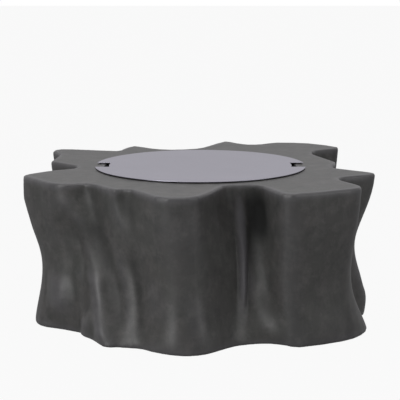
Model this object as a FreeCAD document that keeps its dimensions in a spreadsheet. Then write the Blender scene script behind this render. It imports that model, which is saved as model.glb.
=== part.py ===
"""Fire pit table: a hollow cast stump with a lift-off round lid over a gas burner.

Frame: millimetres, +Z up, origin on the floor under the centre of the lid.
The seen side faces -Y. The controls and the gas inlet are at the rear, +Y.
"""

import FreeCAD
import Part
import math
import os
import re

import Sketcher
from FreeCAD import Placement, Rotation, Vector

# Driving dimensions, in millimetres and degrees
SIZES = {
    # Stump casting
    "table_width": 1286.0,
    "table_depth": 1430.0,
    "drawn_width": 1286.0,
    "drawn_depth": 1430.0,
    "deck_height": 535.0,
    "waist_height": 210.0,
    "deck_thickness": 24.0,
    "wall_thickness": 24.0,
    "edge_round": 6.0,
    "foot_round": 8.0,
    "cut_overrun": 1.0,
    "opening_radius": 365.0,
    "ledge_width": 22.0,
    "ledge_thickness": 20.0,
    "ledge_root": 35.0,
    # Lid
    "lid_radius": 400.0,
    "lid_thickness": 3.0,
    "lid_edge": 1.2,
    "notch_width": 105.0,
    "notch_depth": 53.0,
    "lid_pad_radius": 6.0,
    "lid_pad_height": 3.0,
    "lid_pad_count": 4.0,
    "tab_clearance": 6.0,
    "tab_width": 40.0,
    "tab_foot": 20.0,
    "tab_height": 14.0,
    "tab_sheet": 2.0,
    # Burner pan
    "pan_clearance": 4.0,
    "pan_sheet": 2.0,
    "pan_depth": 70.0,
    "drain_radius": 4.0,
    "drain_circle": 300.0,
    "drain_count": 6.0,
    # Burner
    "nipple_radius": 10.65,
    "nipple_bore": 7.5,
    "thread_clearance": 0.15,
    "locknut_flat": 34.0,
    "locknut_height": 8.0,
    "hub_radius": 32.0,
    "hub_height": 26.0,
    "hub_lift": 12.0,
    "arm_radius": 9.5,
    "arm_reach": 225.0,
    "arm_count": 6.0,
    "nipple_drop": 50.0,
    # Lava rocks
    "rock_radius": 42.0,
    "rock_height": 36.0,
    "inner_rock_circle": 120.0,
    "outer_rock_circle": 250.0,
    "outer_rock_spread": 11.0,
    # Heat shield
    "shield_radius": 200.0,
    "shield_sheet": 1.5,
    "shield_drop": 30.0,
    "shield_bore": 20.0,
    "spacer_radius": 4.0,
    "spacer_circle": 165.0,
    "spacer_count": 4.0,
    # Air mixer and elbow
    "mixer_radius": 14.0,
    "mixer_length": 72.0,
    "mixer_grip": 15.0,
    "air_slot_width": 7.0,
    "air_slot_height": 22.0,
    "elbow_radius": 12.0,
    "elbow_height": 30.0,
    "elbow_arm_radius": 9.0,
    "elbow_reach": 36.0,
    # Flexible gas hose
    "hose_radius": 6.0,
    "hose_nut_flat": 20.0,
    "hose_nut_length": 14.0,
    # Control niche and panel
    "drawn_panel_x": -120.0,
    "panel_z": 270.0,
    "drawn_seat_y": 448.0,
    "seat_depth": 30.0,
    "seat_margin": 24.0,
    "panel_width": 190.0,
    "panel_height": 120.0,
    "panel_sheet": 2.0,
    "panel_corner": 8.0,
    "niche_clearance": 5.0,
    "window_margin": 20.0,
    "panel_screw_radius": 2.5,
    "panel_screw_head": 4.5,
    "panel_screw_length": 18.0,
    "panel_screw_inset": 10.0,
    # Gas valve
    "control_offset": 42.0,
    "valve_width": 46.0,
    "valve_height": 56.0,
    "valve_depth": 60.0,
    "plug_radius": 10.0,
    "plug_length": 30.0,
    "valve_front": 10.0,
    "running_clearance": 0.1,
    "stem_radius": 4.0,
    "stem_gland": 6.0,
    "stem_reach": 24.0,
    "stem_tail": 26.0,
    # Knob
    "knob_radius": 21.0,
    "knob_skirt": 23.0,
    "knob_height": 22.0,
    "knob_gap": 6.0,
    "knob_push": 4.0,
    "grip_width": 12.0,
    "grip_height": 9.0,
    "grip_inset": 2.0,
    "knob_edge": 1.0,
    # Igniter
    "igniter_radius": 11.0,
    "igniter_length": 62.0,
    "bezel_radius": 15.0,
    "bezel_height": 3.0,
    "button_radius": 9.0,
    "button_length": 16.0,
    "button_proud": 6.0,
    "button_push": 4.0,
    "button_floor": 1.5,
    # Spark electrode and flame sensor
    "sensor_circle": 248.0,
    "sensor_spread": 14.0,
    "sensor_drop": 18.0,
    "electrode_radius": 4.0,
    "electrode_height": 26.0,
    "spark_radius": 1.2,
    "spark_height": 12.0,
    "thermocouple_radius": 3.0,
    "thermocouple_height": 34.0,
    "clamp_width": 56.0,
    "clamp_depth": 22.0,
    "clamp_sheet": 1.5,
    "collar_height": 4.0,
    "collar_width": 2.0,
    "igniter_lead_radius": 2.0,
    "thermocouple_lead_radius": 1.5,
    # Gas inlet
    "arch_width": 180.0,
    "arch_height": 80.0,
    "arch_round": 24.0,
    "inlet_height": 45.0,
    "inlet_setback": 38.0,
    "pipe_radius": 6.35,
    "pipe_bend": 32.0,
    "pipe_setback": 14.0,
    "flare_radius": 7.94,
    "flare_length": 15.0,
    "flare_nose": 3.0,
    "nose_root_radius": 6.35,
    "nose_tip_radius": 4.0,
    "inlet_hex_flat": 24.0,
    "inlet_hex_length": 10.0,
    "shank_length": 20.0,
    "inlet_nut_length": 8.0,
    "bracket_width": 50.0,
    "bracket_sheet": 2.5,
    "bracket_flange": 22.0,
    "bracket_screw_radius": 2.5,
    "bracket_screw_head": 4.5,
    "bracket_screw_length": 16.0,
    "bracket_screw_spread": 16.0,
}

# Vertical folds of the stump, one row each, anticlockwise from the left tip:
# plan points of the fold at the deck, at the waist and at the foot, for the drawn width and depth
FOLDS = (
    ((-643, -215), (-580, -215), (-606, -245)),
    ((-612, -275), (-574, -275), (-600, -310)),
    ((-560, -355), (-540, -335), (-560, -360)),
    ((-515, -402), (-470, -385), (-432, -430)),
    ((-470, -416), (-372, -470), (-338, -603)),
    ((-410, -402), (-330, -475), (-285, -615)),
    ((-362, -430), (-287, -497), (-228, -627)),
    ((-330, -480), (-255, -510), (-205, -634)),
    ((-295, -520), (-222, -535), (-185, -648)),
    ((-232, -530), (-195, -570), (-160, -670)),
    ((-150, -663), (-125, -650), (-95, -704)),
    ((-70, -687), (-60, -675), (-35, -713)),
    ((-5, -655), (5, -652), (25, -692)),
    ((45, -545), (70, -585), (75, -645)),
    ((80, -450), (115, -535), (110, -612)),
    ((112, -430), (147, -500), (140, -592)),
    ((160, -426), (185, -482), (195, -574)),
    ((215, -460), (228, -505), (240, -569)),
    ((258, -560), (265, -560), (290, -588)),
    ((310, -618), (325, -592), (345, -610)),
    ((510, -520), (485, -515), (500, -538)),
    ((558, -468), (528, -450), (572, -465)),
    ((540, -400), (530, -390), (600, -385)),
    ((498, -315), (522, -310), (580, -310)),
    ((515, -262), (540, -260), (585, -255)),
    ((590, -222), (552, -225), (600, -215)),
    ((641, -183), (557, -185), (608, -175)),
    ((625, -138), (553, -140), (600, -130)),
    ((512, -45), (505, -45), (545, -35)),
    ((508, 20), (500, 20), (545, 30)),
    ((528, 110), (505, 105), (560, 110)),
    ((458, 320), (470, 310), (505, 300)),
    ((478, 420), (490, 400), (525, 395)),
    ((550, 470), (525, 455), (570, 460)),
    ((582, 530), (535, 515), (585, 525)),
    ((470, 650), (440, 615), (480, 645)),
    ((330, 675), (320, 632), (320, 668)),
    ((260, 622), (255, 600), (255, 640)),
    ((205, 612), (205, 590), (200, 635)),
    ((160, 655), (150, 615), (145, 660)),
    ((105, 711), (95, 640), (95, 690)),
    ((30, 560), (10, 555), (0, 600)),
    ((-20, 485), (-40, 505), (-50, 555)),
    ((-120, 455), (-125, 485), (-130, 535)),
    ((-200, 490), (-200, 500), (-205, 550)),
    ((-280, 565), (-270, 525), (-280, 580)),
    ((-325, 470), (-330, 490), (-340, 545)),
    ((-345, 418), (-370, 460), (-380, 510)),
    ((-470, 450), (-460, 450), (-475, 490)),
    ((-580, 470), (-530, 430), (-565, 450)),
    ((-608, 405), (-545, 385), (-585, 400)),
    ((-570, 310), (-535, 290), (-568, 295)),
    ((-582, 155), (-530, 150), (-565, 160)),
    ((-572, 108), (-522, 95), (-558, 100)),
    ((-475, 10), (-490, 0), (-530, -10)),
    ((-480, -55), (-500, -60), (-540, -70)),
    ((-545, -95), (-530, -110), (-565, -120)),
    ((-610, -160), (-565, -165), (-595, -185)),
)

# The core that forms the hollow follows the folds at this many bearings
CORE_BEARINGS = 48

# Shares of the height between the foot, the waist and the deck at which the flanks are drawn
LOW_SHARE = 0.5
HIGH_SHARES = (0.35, 0.7)
CORE_SHARE = 0.5

# A quarter round in steps: how far each step goes along the wall and how far inwards
ROUND_STEPS = ((0.0, 0.0), (0.7, 0.3), (1.0, 1.0))

# Turns a local z axis to face the rear, with local x to the left of the table and local y up
X_AXIS = Vector(1, 0, 0)
Y_AXIS = Vector(0, 1, 0)
Z_AXIS = Vector(0, 0, 1)
FACING_REAR = Rotation(Y_AXIS + Z_AXIS, 180)
ALONG_Y = Rotation(X_AXIS, -90)
UPRIGHT = Rotation()
HEX_SIDES = 6
BETWEEN_AXES = 45
REAR = 90
HALF_TURN = 180
LEAD_SIDES = 8
HOSE_SIDES = 12

# A lava stone: corners round it, how uneven they are, and its width at each share of its height
ROCK_CORNERS = 7
ROCK_UNEVEN = 0.13
ROCK_PHASE = 2.3
ROCK_LEVELS = ((0.8, 0.0), (1.0, 0.45), (0.55, 1.0))
INNER_ROCK_SCALES = (0.8, 0.85, 0.9)
OUTER_ROCK_SCALES = (0.9, 0.94, 0.98, 1.02)

# Share of a run that an arc of a hose or lead may take, and the least arc radius in diameters
ARC_SHARE = 0.45
LEAST_BEND = 5

# The control panel and the wall it sits on keep their place in the folds when the table grows
PANEL_X = "(drawn_panel_x * table_width / drawn_width)"
SEAT_Y = "(drawn_seat_y * table_depth / drawn_depth)"

# Places of the controls, the gas inlet and the ports, as sums of sizes
VALVE_X = f"{PANEL_X} - control_offset"
BUTTON_X = f"{PANEL_X} + control_offset"
INLET_Y = f"{SEAT_Y} + inlet_setback"
VALVE_BACK = f"{SEAT_Y} - valve_depth"
HOSE_PORT_Z = "panel_z - valve_height / 4"
SENSOR_PORT_Z = "panel_z + valve_height / 4"

# Levels of the pan and of the gas train under it, as sums of sizes
PAN_TOP = "deck_height - deck_thickness"
PAN_UNDER = f"{PAN_TOP} - pan_depth"
PAN_FLOOR = f"{PAN_UNDER} + pan_sheet"
MIXER_TOP = f"{PAN_UNDER} - nipple_drop + mixer_grip"
MIXER_LOW = f"{MIXER_TOP} - mixer_length"
ELBOW_Z = f"{MIXER_LOW} - elbow_height / 2"

doc = FreeCAD.newDocument("FirePitTable")
sheet = doc.addObject("Spreadsheet::Sheet", "Sizes")
parts = []


def fill_sheet():
    """Writes each driving dimension as a plain number in the sheet, with its name beside it."""
    for row, (name, value) in enumerate(SIZES.items(), start=1):
        sheet.set(f"A{row}", name)
        sheet.set(f"B{row}", str(value))
        sheet.setAlias(f"B{row}", name)
    doc.recompute()


def formula(text):
    """Turns the size names in a sum into references to the sheet."""
    return re.sub(r"[a-z]+(?:_[a-z]+)+", lambda found: "Sizes." + found.group(0), text)


def size(text):
    """Returns the value of a sum of size names, in millimetres."""
    value = sheet.evalExpression(formula(text))
    return float(getattr(value, "Value", value))


def bind(thing, **sums):
    """Ties properties of a document object to sums of sizes."""
    for name, text in sums.items():
        thing.setExpression(name, formula(text))


def place(thing, at, turn=UPRIGHT):
    """Puts an object at a place given as three sums of sizes."""
    thing.Placement = Placement(Vector(*[size(text) for text in at]), turn)
    for axis, text in zip("xyz", at):
        thing.setExpression("Placement.Base." + axis, formula(text))
    return thing


def cylinder(name, at, radius, height, turn=UPRIGHT):
    """A round rod whose axis starts at the given place."""
    rod = doc.addObject("Part::Cylinder", name)
    bind(rod, Radius=radius, Height=height)
    return place(rod, at, turn)


def cone(name, at, low_radius, high_radius, height, turn=UPRIGHT):
    """A tapered rod whose axis starts at the given place."""
    taper = doc.addObject("Part::Cone", name)
    bind(taper, Radius1=low_radius, Radius2=high_radius, Height=height)
    return place(taper, at, turn)


def hole(name, at, radius, depth, turn=UPRIGHT):
    """A drill that starts a little before the given place and ends a little past its depth."""
    x, y, z = at
    if turn is ALONG_Y:
        start = (x, f"{y} - cut_overrun", z)
    else:
        start = (x, y, f"{z} - cut_overrun")
    return cylinder(name, start, radius, f"{depth} + 2 * cut_overrun", turn)


def hexagon(name, at, flat, height, turn=UPRIGHT):
    """A hexagonal bar with the given size across its flats."""
    bar = doc.addObject("Part::Prism", name)
    bar.Polygon = HEX_SIDES
    bind(bar, Circumradius=f"({flat}) / cos(30 deg) / 2", Height=height)
    return place(bar, at, turn)


def box(name, at, length, width, height, turn=UPRIGHT):
    """A block with its low corner at the given place."""
    block = doc.addObject("Part::Box", name)
    bind(block, Length=length, Width=width, Height=height)
    return place(block, at, turn)


def fuse(name, things):
    """Joins solids into one."""
    union = doc.addObject("Part::MultiFuse", name)
    union.Shapes = things
    return union


def cut(name, base, tools):
    """Takes one or more tools out of a base."""
    tool = tools[0] if len(tools) == 1 else fuse(name + "_tools", tools)
    rest = doc.addObject("Part::Cut", name)
    rest.Base = base
    rest.Tool = tool
    return rest


def group(name, things):
    """Keeps separate solids of one kind together."""
    together = doc.addObject("Part::Compound", name)
    together.Links = things
    return together


def keep(thing, label):
    """Registers a finished sub-part under its name."""
    thing.Label = label
    parts.append(thing)
    return thing


def hold(sketch, kind, geometry, position, text):
    """Ties one coordinate of a sketch point to a sum of sizes."""
    if text == "0":
        axis = -2 if kind == "DistanceX" else -1
        sketch.addConstraint(Sketcher.Constraint("PointOnObject", geometry, position, axis))
        return
    index = sketch.addConstraint(Sketcher.Constraint(kind, -1, 1, geometry, position, size(text)))
    sketch.setExpression(f"Constraints[{index}]", formula(text))


def add_outline(sketch, corners):
    """Draws a closed outline with straight sides through corners given as sums of sizes."""
    points = [Vector(size(x), size(y), 0) for x, y in corners]
    first = sketch.GeometryCount
    count = len(points)
    for i in range(count):
        sketch.addGeometry(Part.LineSegment(points[i], points[(i + 1) % count]), False)
    for i in range(count):
        after = first + (i + 1) % count
        sketch.addConstraint(Sketcher.Constraint("Coincident", first + i, 2, after, 1))
    for i, (x, y) in enumerate(corners):
        hold(sketch, "DistanceX", first + i, 1, x)
        hold(sketch, "DistanceY", first + i, 1, y)


def add_circle(sketch, x, y, radius):
    """Draws a circle at a place and with a radius given as sums of sizes."""
    centre = Vector(size(x), size(y), 0)
    index = sketch.addGeometry(Part.Circle(centre, Z_AXIS, size(radius)), False)
    hold(sketch, "DistanceX", index, 3, x)
    hold(sketch, "DistanceY", index, 3, y)
    number = sketch.addConstraint(Sketcher.Constraint("Radius", index, size(radius)))
    sketch.setExpression(f"Constraints[{number}]", formula(radius))


def add_notch(sketch, inner, outer, half):
    """Draws a notch with parallel sides whose inner end is concentric with the sketch's origin."""
    reach = size(inner)
    side = size(half)
    bearing = math.asin(side / reach)
    circle = Part.Circle(Vector(), Z_AXIS, reach)
    near = Vector(reach * math.cos(bearing), -side, 0)
    far = Vector(near.x, side, 0)
    end = size(outer)
    end_arc = sketch.addGeometry(Part.ArcOfCircle(circle, -bearing, bearing), False)
    corners = (far, Vector(end, side, 0), Vector(end, -side, 0), near)
    lines = [sketch.addGeometry(Part.LineSegment(*ends), False) for ends in zip(corners, corners[1:])]
    sketch.addConstraint(Sketcher.Constraint("Coincident", end_arc, 3, -1, 1))
    sketch.addConstraint(Sketcher.Constraint("Coincident", end_arc, 2, lines[0], 1))
    sketch.addConstraint(Sketcher.Constraint("Coincident", lines[0], 2, lines[1], 1))
    sketch.addConstraint(Sketcher.Constraint("Coincident", lines[1], 2, lines[2], 1))
    sketch.addConstraint(Sketcher.Constraint("Coincident", lines[2], 2, end_arc, 1))
    number = sketch.addConstraint(Sketcher.Constraint("Radius", end_arc, reach))
    sketch.setExpression(f"Constraints[{number}]", formula(inner))
    hold(sketch, "DistanceY", lines[0], 1, half)
    hold(sketch, "DistanceY", lines[2], 2, f"-1 * {half}")
    for line, position, x, y in ((lines[0], 2, outer, half), (lines[1], 2, outer, f"-1 * {half}")):
        hold(sketch, "DistanceX", line, position, x)
        hold(sketch, "DistanceY", line, position, y)


def new_body(label):
    """Starts a body that is registered under its label."""
    body = doc.addObject("PartDesign::Body", label + "_body")
    return keep(body, label)


def new_sketch(body, name, plane, offset="0"):
    """Starts a sketch on one of the body's own planes, moved along its normal."""
    sketch = body.newObject("Sketcher::SketchObject", name)
    support = next(item for item in body.Origin.OriginFeatures if item.Role == plane)
    sketch.AttachmentSupport = [(support, "")]
    sketch.MapMode = "FlatFace"
    if offset != "0":
        sketch.AttachmentOffset = Placement(Vector(0, 0, size(offset)), Rotation())
        sketch.setExpression("AttachmentOffset.Base.z", formula(offset))
    return sketch


def new_feature(body, kind, name, sketch, **sums):
    """Adds a feature made from a sketch, with its sizes tied to the sheet."""
    feature = body.newObject("PartDesign::" + kind, name)
    feature.Profile = sketch
    bind(feature, **sums)
    return feature


def through(body, name, sketch):
    """Cuts a sketch right through a plate, both ways."""
    pocket = body.newObject("PartDesign::Pocket", name)
    pocket.Profile = sketch
    pocket.Type = "ThroughAll"
    pocket.Midplane = True
    return pocket


def revolve(body, name, sketch, axis="V_Axis"):
    """Turns a sketch a full circle about one of its own axes."""
    turned = body.newObject("PartDesign::Revolution", name)
    turned.Profile = sketch
    turned.ReferenceAxis = (sketch, [axis])
    turned.Angle = 360
    return turned


def polar(body, name, feature, count):
    """Repeats a feature round the body's own vertical axis."""
    pattern = body.newObject("PartDesign::PolarPattern", name)
    pattern.Originals = [feature]
    pattern.Axis = (feature.Profile[0], ["N_Axis"])
    pattern.Angle = 360
    bind(pattern, Occurrences=count)
    body.Tip = pattern
    return pattern


def bearings(count, start=0.0):
    """Yields evenly spaced bearings in degrees."""
    for i in range(int(count)):
        yield start + i * 360.0 / count


def polar_place(circle, bearing, height):
    """Place on a circle about the table's axis, as three sums."""
    return (f"({circle}) * cos({bearing} deg)", f"({circle}) * sin({bearing} deg)", height)


# Stump casting


def fold_section(height):
    """Plan points of all folds at a height, easing from the waist to the deck and to the foot."""
    waist = size("waist_height")
    deck = size("deck_height")
    across = size("table_width / drawn_width")
    along = size("table_depth / drawn_depth")
    points = []
    for at_deck, at_waist, at_foot in FOLDS:
        if height >= waist:
            share = (height - waist) / (deck - waist)
            end = at_deck
            ease = share * share * (3 - 2 * share)
        else:
            share = (waist - height) / waist
            end = at_foot
            ease = share * share * (2 - share)
        x = at_waist[0] + (end[0] - at_waist[0]) * ease
        y = at_waist[1] + (end[1] - at_waist[1]) * ease
        points.append((x * across, y * along))
    return points


def rounded_section(height):
    """The fold points with a point on a smooth curve between each pair, to round the folds."""
    points = fold_section(height)
    count = len(points)
    curve = []
    for i, here in enumerate(points):
        before = points[i - 1]
        after = points[(i + 1) % count]
        beyond = points[(i + 2) % count]
        middle = [(9 * (here[k] + after[k]) - before[k] - beyond[k]) / 16 for k in (0, 1)]
        curve.append(here)
        curve.append(tuple(middle))
    return curve


def inset(points, distance):
    """Moves each point of an anticlockwise outline inwards, square to its neighbours."""
    moved = []
    for i, (x, y) in enumerate(points):
        before = points[i - 1]
        after = points[(i + 1) % len(points)]
        along = Vector(after[0] - before[0], after[1] - before[1], 0).normalize()
        moved.append((x - along.y * distance, y + along.x * distance))
    return moved


def core_section(height):
    """Outline of the hollow: at each bearing one wall inside the deepest fold beside it."""
    outline = rounded_section(height)
    wall = size("wall_thickness")
    step = 2 * math.pi / CORE_BEARINGS
    points = []
    for i in range(CORE_BEARINGS):
        bearing = i * step
        near = []
        for x, y in outline:
            off = math.remainder(math.atan2(y, x) - bearing, 2 * math.pi)
            if abs(off) <= step:
                near.append(math.hypot(x, y))
        reach = min(near) - wall
        points.append((reach * math.cos(bearing), reach * math.sin(bearing)))
    return points


def between(low, high, share):
    """A level part of the way from one to another, as a sum."""
    return f"{low} + ({high} - {low}) * {share}"


def outline_wire(name, points, height):
    """A closed straight-sided outline at a height given as a sum of sizes."""
    wire = doc.addObject("Part::Polygon", name)
    wire.Nodes = [Vector(x, y, 0) for x, y in points]
    wire.Close = True
    return place(wire, ("0", "0", height))


def loft(name, sections, ruled=False):
    """A solid through outlines given as (points, height) pairs, from the lowest up."""
    wires = []
    for i, (points, height) in enumerate(sections):
        wires.append(outline_wire(f"{name}_section_{i}", points, height))
    solid = doc.addObject("Part::Loft", name)
    solid.Sections = wires
    solid.Solid = True
    solid.Ruled = ruled
    return solid


def make_stump():
    """The outside of the casting: folded flanks with an eased foot and an eased deck edge."""
    top = "deck_height - edge_round"
    heights = ["foot_round", between("0", "waist_height", LOW_SHARE), "waist_height"]
    heights += [between("waist_height", "deck_height", share) for share in HIGH_SHARES] + [top]
    flanks = loft("flanks", [(rounded_section(size(text)), text) for text in heights])
    rim = rounded_section(size(top))
    brow_steps = []
    for along, back in ROUND_STEPS:
        points = inset(rim, size(f"edge_round * {back}"))
        brow_steps.append((points, f"{top} + edge_round * {along}"))
    sole = rounded_section(size("foot_round"))
    foot_steps = []
    for along, back in reversed(ROUND_STEPS):
        points = inset(sole, size(f"foot_round * {back}"))
        foot_steps.append((points, f"foot_round * {1 - along}"))
    return fuse("stump", [loft("foot", foot_steps, True), flanks, loft("brow", brow_steps, True)])


def make_core():
    """The hollow inside the casting, open at the floor."""
    heights = [
        between("0", "waist_height", LOW_SHARE),
        "waist_height",
        between("waist_height", "deck_height", CORE_SHARE),
        "deck_height - deck_thickness",
    ]
    sections = [(core_section(0), "-1 * foot_round")]
    return loft("core", sections + [(core_section(size(text)), text) for text in heights])


def make_ledge():
    """The ring under the deck opening that carries the pan's flange."""
    low = "deck_height - deck_thickness - ledge_thickness"
    return cylinder("ledge", ("0", "0", low), "opening_radius + ledge_root", "ledge_thickness")


def seat_block():
    """The thick flat part of the rear wall that the control panel is screwed to."""
    at = (
        f"{PANEL_X} - panel_width / 2 - seat_margin",
        f"{SEAT_Y} - seat_depth",
        "panel_z - panel_height / 2 - seat_margin",
    )
    length = "panel_width + 2 * seat_margin"
    height = "panel_height + 2 * seat_margin"
    return box("seat_block", at, length, "seat_depth + seat_margin / 2", height)


def niche_tool():
    """The recess in front of the panel, open to the rear."""
    at = (
        f"{PANEL_X} - panel_width / 2 - niche_clearance",
        SEAT_Y,
        "panel_z - panel_height / 2 - niche_clearance",
    )
    length = "panel_width + 2 * niche_clearance"
    return box("niche", at, length, "table_depth / 2", "panel_height + 2 * niche_clearance")


def window_tool():
    """The hole behind the panel that the valve and the igniter go through."""
    at = (
        f"{PANEL_X} - panel_width / 2 + window_margin",
        f"{SEAT_Y} - seat_depth - wall_thickness * 3",
        "panel_z - panel_height / 2 + window_margin",
    )
    length = "panel_width - 2 * window_margin"
    height = "panel_height - 2 * window_margin"
    return box("window", at, length, "seat_depth + wall_thickness * 3 + cut_overrun", height)


def arch_tool():
    """The arch at the rear of the foot for the gas line and the air, with rounded shoulders."""
    left = f"{PANEL_X} - arch_width / 2"
    depth = "table_depth / 2"
    shoulder = "arch_height - arch_round"
    start = f"{SEAT_Y} - seat_depth - wall_thickness * 3"
    low = box("arch_low", (left, start, "-foot_round"), "arch_width", depth, f"{shoulder} + foot_round")
    middle = (f"{left} + arch_round", start, "-foot_round")
    high = box("arch_high", middle, "arch_width - 2 * arch_round", depth, "arch_height + foot_round")
    near = cylinder("arch_near", (f"{left} + arch_round", start, shoulder), "arch_round", depth, ALONG_Y)
    far_x = f"{left} + arch_width - arch_round"
    far = cylinder("arch_far", (far_x, start, shoulder), "arch_round", depth, ALONG_Y)
    return [low, high, near, far]


def panel_corners():
    """Offsets of the four panel screws from the panel's centre, as sums."""
    across = "(panel_width / 2 - panel_screw_inset)"
    up = "(panel_height / 2 - panel_screw_inset)"
    return [(f"{a} * {across}", f"{b} * {up}") for a in ("-1", "1") for b in ("-1", "1")]


def bracket_sides():
    """Offsets of the two bracket screws from the inlet's axis, as sums."""
    return ["-1 * bracket_screw_spread", "bracket_screw_spread"]


def screw_hole_tools():
    """Pilot holes in the casting for the panel and bracket screws."""
    tools = []
    for i, (x, z) in enumerate(panel_corners()):
        at = (f"{PANEL_X} + {x}", f"{SEAT_Y} - panel_screw_length", f"panel_z + {z}")
        radius = "panel_screw_radius + thread_clearance"
        tools.append(cylinder(f"panel_pilot_{i}", at, radius, "panel_screw_length + cut_overrun", ALONG_Y))
    for i, x in enumerate(bracket_sides()):
        at = (f"{VALVE_X} + {x}", f"{INLET_Y} + bracket_flange / 2", "arch_height - cut_overrun")
        radius = "bracket_screw_radius + thread_clearance"
        tools.append(cylinder(f"bracket_pilot_{i}", at, radius, "bracket_screw_length + cut_overrun"))
    return tools


def make_table_shell():
    """The one-piece casting with its deck opening, pan ledge, control niche and rear arch."""
    hollow = cut("hollow_stump", make_stump(), [make_core()])
    solid = fuse("shell_solid", [hollow, make_ledge(), seat_block()])
    ledge_top = "deck_height - deck_thickness"
    opening = cylinder("opening", ("0", "0", ledge_top), "opening_radius", "deck_thickness + cut_overrun")
    throat_at = ("0", "0", f"{ledge_top} - ledge_thickness")
    throat = hole("throat", throat_at, "opening_radius - ledge_width", "ledge_thickness")
    tools = [opening, throat, niche_tool(), window_tool()] + arch_tool() + screw_hole_tools()
    keep(cut("table_shell_cut", solid, tools), "table_shell")


# Lid


def make_lid_plate():
    """Flat round plate with a hand notch in each side and an eased rim."""
    body = new_body("lid_plate")
    disc = new_sketch(body, "lid_disc", "XY_Plane")
    add_circle(disc, "0", "0", "lid_radius")
    plate = new_feature(body, "Pad", "lid_pad", disc, Length="lid_thickness")
    rim = body.newObject("PartDesign::Chamfer", "lid_rim")
    rim.Base = (plate, ["Edge1", "Edge3"])
    bind(rim, Size="lid_edge")
    notch = new_sketch(body, "lid_notch", "XY_Plane")
    add_notch(notch, "lid_radius - notch_depth", "lid_radius + notch_depth", "notch_width / 2")
    pocket = through(body, "lid_notch_cut", notch)
    polar(body, "lid_notches", pocket, "2")
    place(body, ("0", "0", "deck_height + lid_pad_height"))


def make_lid_pads():
    """Silicone pads that hold the lid off the deck."""
    pads = []
    middle = "(opening_radius + lid_radius) / 2"
    for i, bearing in enumerate(bearings(size("lid_pad_count"), BETWEEN_AXES)):
        at = polar_place(middle, bearing, "deck_height")
        pads.append(cylinder(f"lid_rest_{i}", at, "lid_pad_radius", "lid_pad_height"))
    keep(group("lid_pads_group", pads), "lid_pads")


def make_lid_tabs():
    """Bent tabs under the lid that centre it in the deck opening."""
    outer = "(opening_radius - tab_clearance)"
    tabs = []
    for i, bearing in enumerate(bearings(size("lid_pad_count"), BETWEEN_AXES)):
        turn = Rotation(Z_AXIS, bearing)
        leg = box(f"tab_leg_{i}", ("0", "0", "0"), "tab_sheet", "tab_width", "tab_height")
        foot = box(f"tab_foot_{i}", ("0", "0", "0"), "tab_foot", "tab_width", "tab_sheet")
        top = "deck_height + lid_pad_height"
        for piece, back, low in ((leg, "tab_sheet", "tab_height"), (foot, "tab_foot", "tab_sheet")):
            radial = f"({outer} - {back})"
            x = f"{radial} * cos({bearing} deg) + tab_width / 2 * sin({bearing} deg)"
            y = f"{radial} * sin({bearing} deg) - tab_width / 2 * cos({bearing} deg)"
            place(piece, (x, y, f"{top} - {low}"), turn)
        tabs.append(fuse(f"tab_{i}", [leg, foot]))
    keep(group("lid_tabs_group", tabs), "lid_tabs")


# Burner pan and burner


def make_burner_pan():
    """Drop-in pan: flange on the ledge, straight wall, floor with drain and gas holes."""
    body = new_body("burner_pan")
    flange = "opening_radius - pan_clearance"
    outer = "opening_radius - ledge_width - pan_clearance"
    inner = f"{outer} - pan_sheet"
    bore = "nipple_radius + thread_clearance"
    profile = new_sketch(body, "pan_profile", "XZ_Plane")
    add_outline(profile, [
        (bore, "-1 * pan_depth"),
        (outer, "-1 * pan_depth"),
        (outer, "0"),
        (flange, "0"),
        (flange, "pan_sheet"),
        (inner, "pan_sheet"),
        (inner, "pan_sheet - pan_depth"),
        (bore, "pan_sheet - pan_depth"),
    ])
    revolve(body, "pan_turn", profile)
    drain = new_sketch(body, "pan_drain", "XY_Plane")
    add_circle(drain, "drain_circle", "0", "drain_radius")
    polar(body, "pan_drains", through(body, "pan_drain_cut", drain), "drain_count")
    sensors = new_sketch(body, "pan_sensor_holes", "XY_Plane")
    gap = "thread_clearance"
    add_circle(sensors, "-1 * sensor_spread", "sensor_circle", f"electrode_radius + {gap}")
    add_circle(sensors, "sensor_spread", "sensor_circle", f"thermocouple_radius + {gap}")
    body.Tip = through(body, "pan_sensor_cut", sensors)
    place(body, ("0", "0", PAN_TOP))


def make_burner():
    """Star burner: a hub with straight closed arms above the pan floor."""
    low = f"{PAN_FLOOR} + hub_lift"
    hub = cylinder("hub", ("0", "0", low), "hub_radius", "hub_height")
    arms = []
    for i, bearing in enumerate(bearings(size("arm_count"), REAR)):
        arm = cylinder(f"arm_{i}", ("0", "0", f"{low} + hub_height / 2"), "arm_radius", "arm_reach")
        arm.Placement.Rotation = Rotation(Z_AXIS, bearing).multiply(Rotation(Y_AXIS, REAR))
        arms.append(arm)
    depth = "hub_height / 2 + cut_overrun"
    socket_at = ("0", "0", f"{low} - cut_overrun")
    socket = cylinder("hub_socket", socket_at, "nipple_radius + thread_clearance", depth)
    keep(cut("burner_cut", fuse("burner_solid", [hub] + arms), [socket]), "burner_star")


def make_nipple():
    """Threaded pipe through the pan floor that carries the burner, with its two locknuts."""
    low = f"{PAN_UNDER} - nipple_drop"
    length = "nipple_drop + pan_sheet + hub_lift + hub_height / 2 - thread_clearance"
    outside = cylinder("nipple_outside", ("0", "0", low), "nipple_radius", length)
    bore = hole("nipple_hole", ("0", "0", low), "nipple_bore", length)
    keep(cut("nipple_cut", outside, [bore]), "burner_nipple")
    nuts = []
    for i, base in enumerate((PAN_FLOOR, f"{PAN_UNDER} - locknut_height")):
        at = ("0", "0", base)
        nut = hexagon(f"locknut_{i}", at, "locknut_flat", "locknut_height")
        bore = hole(f"locknut_hole_{i}", at, "nipple_radius + thread_clearance", "locknut_height")
        nuts.append(cut(f"locknut_cut_{i}", nut, [bore]))
    keep(group("locknut_group", nuts), "burner_locknuts")


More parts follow.
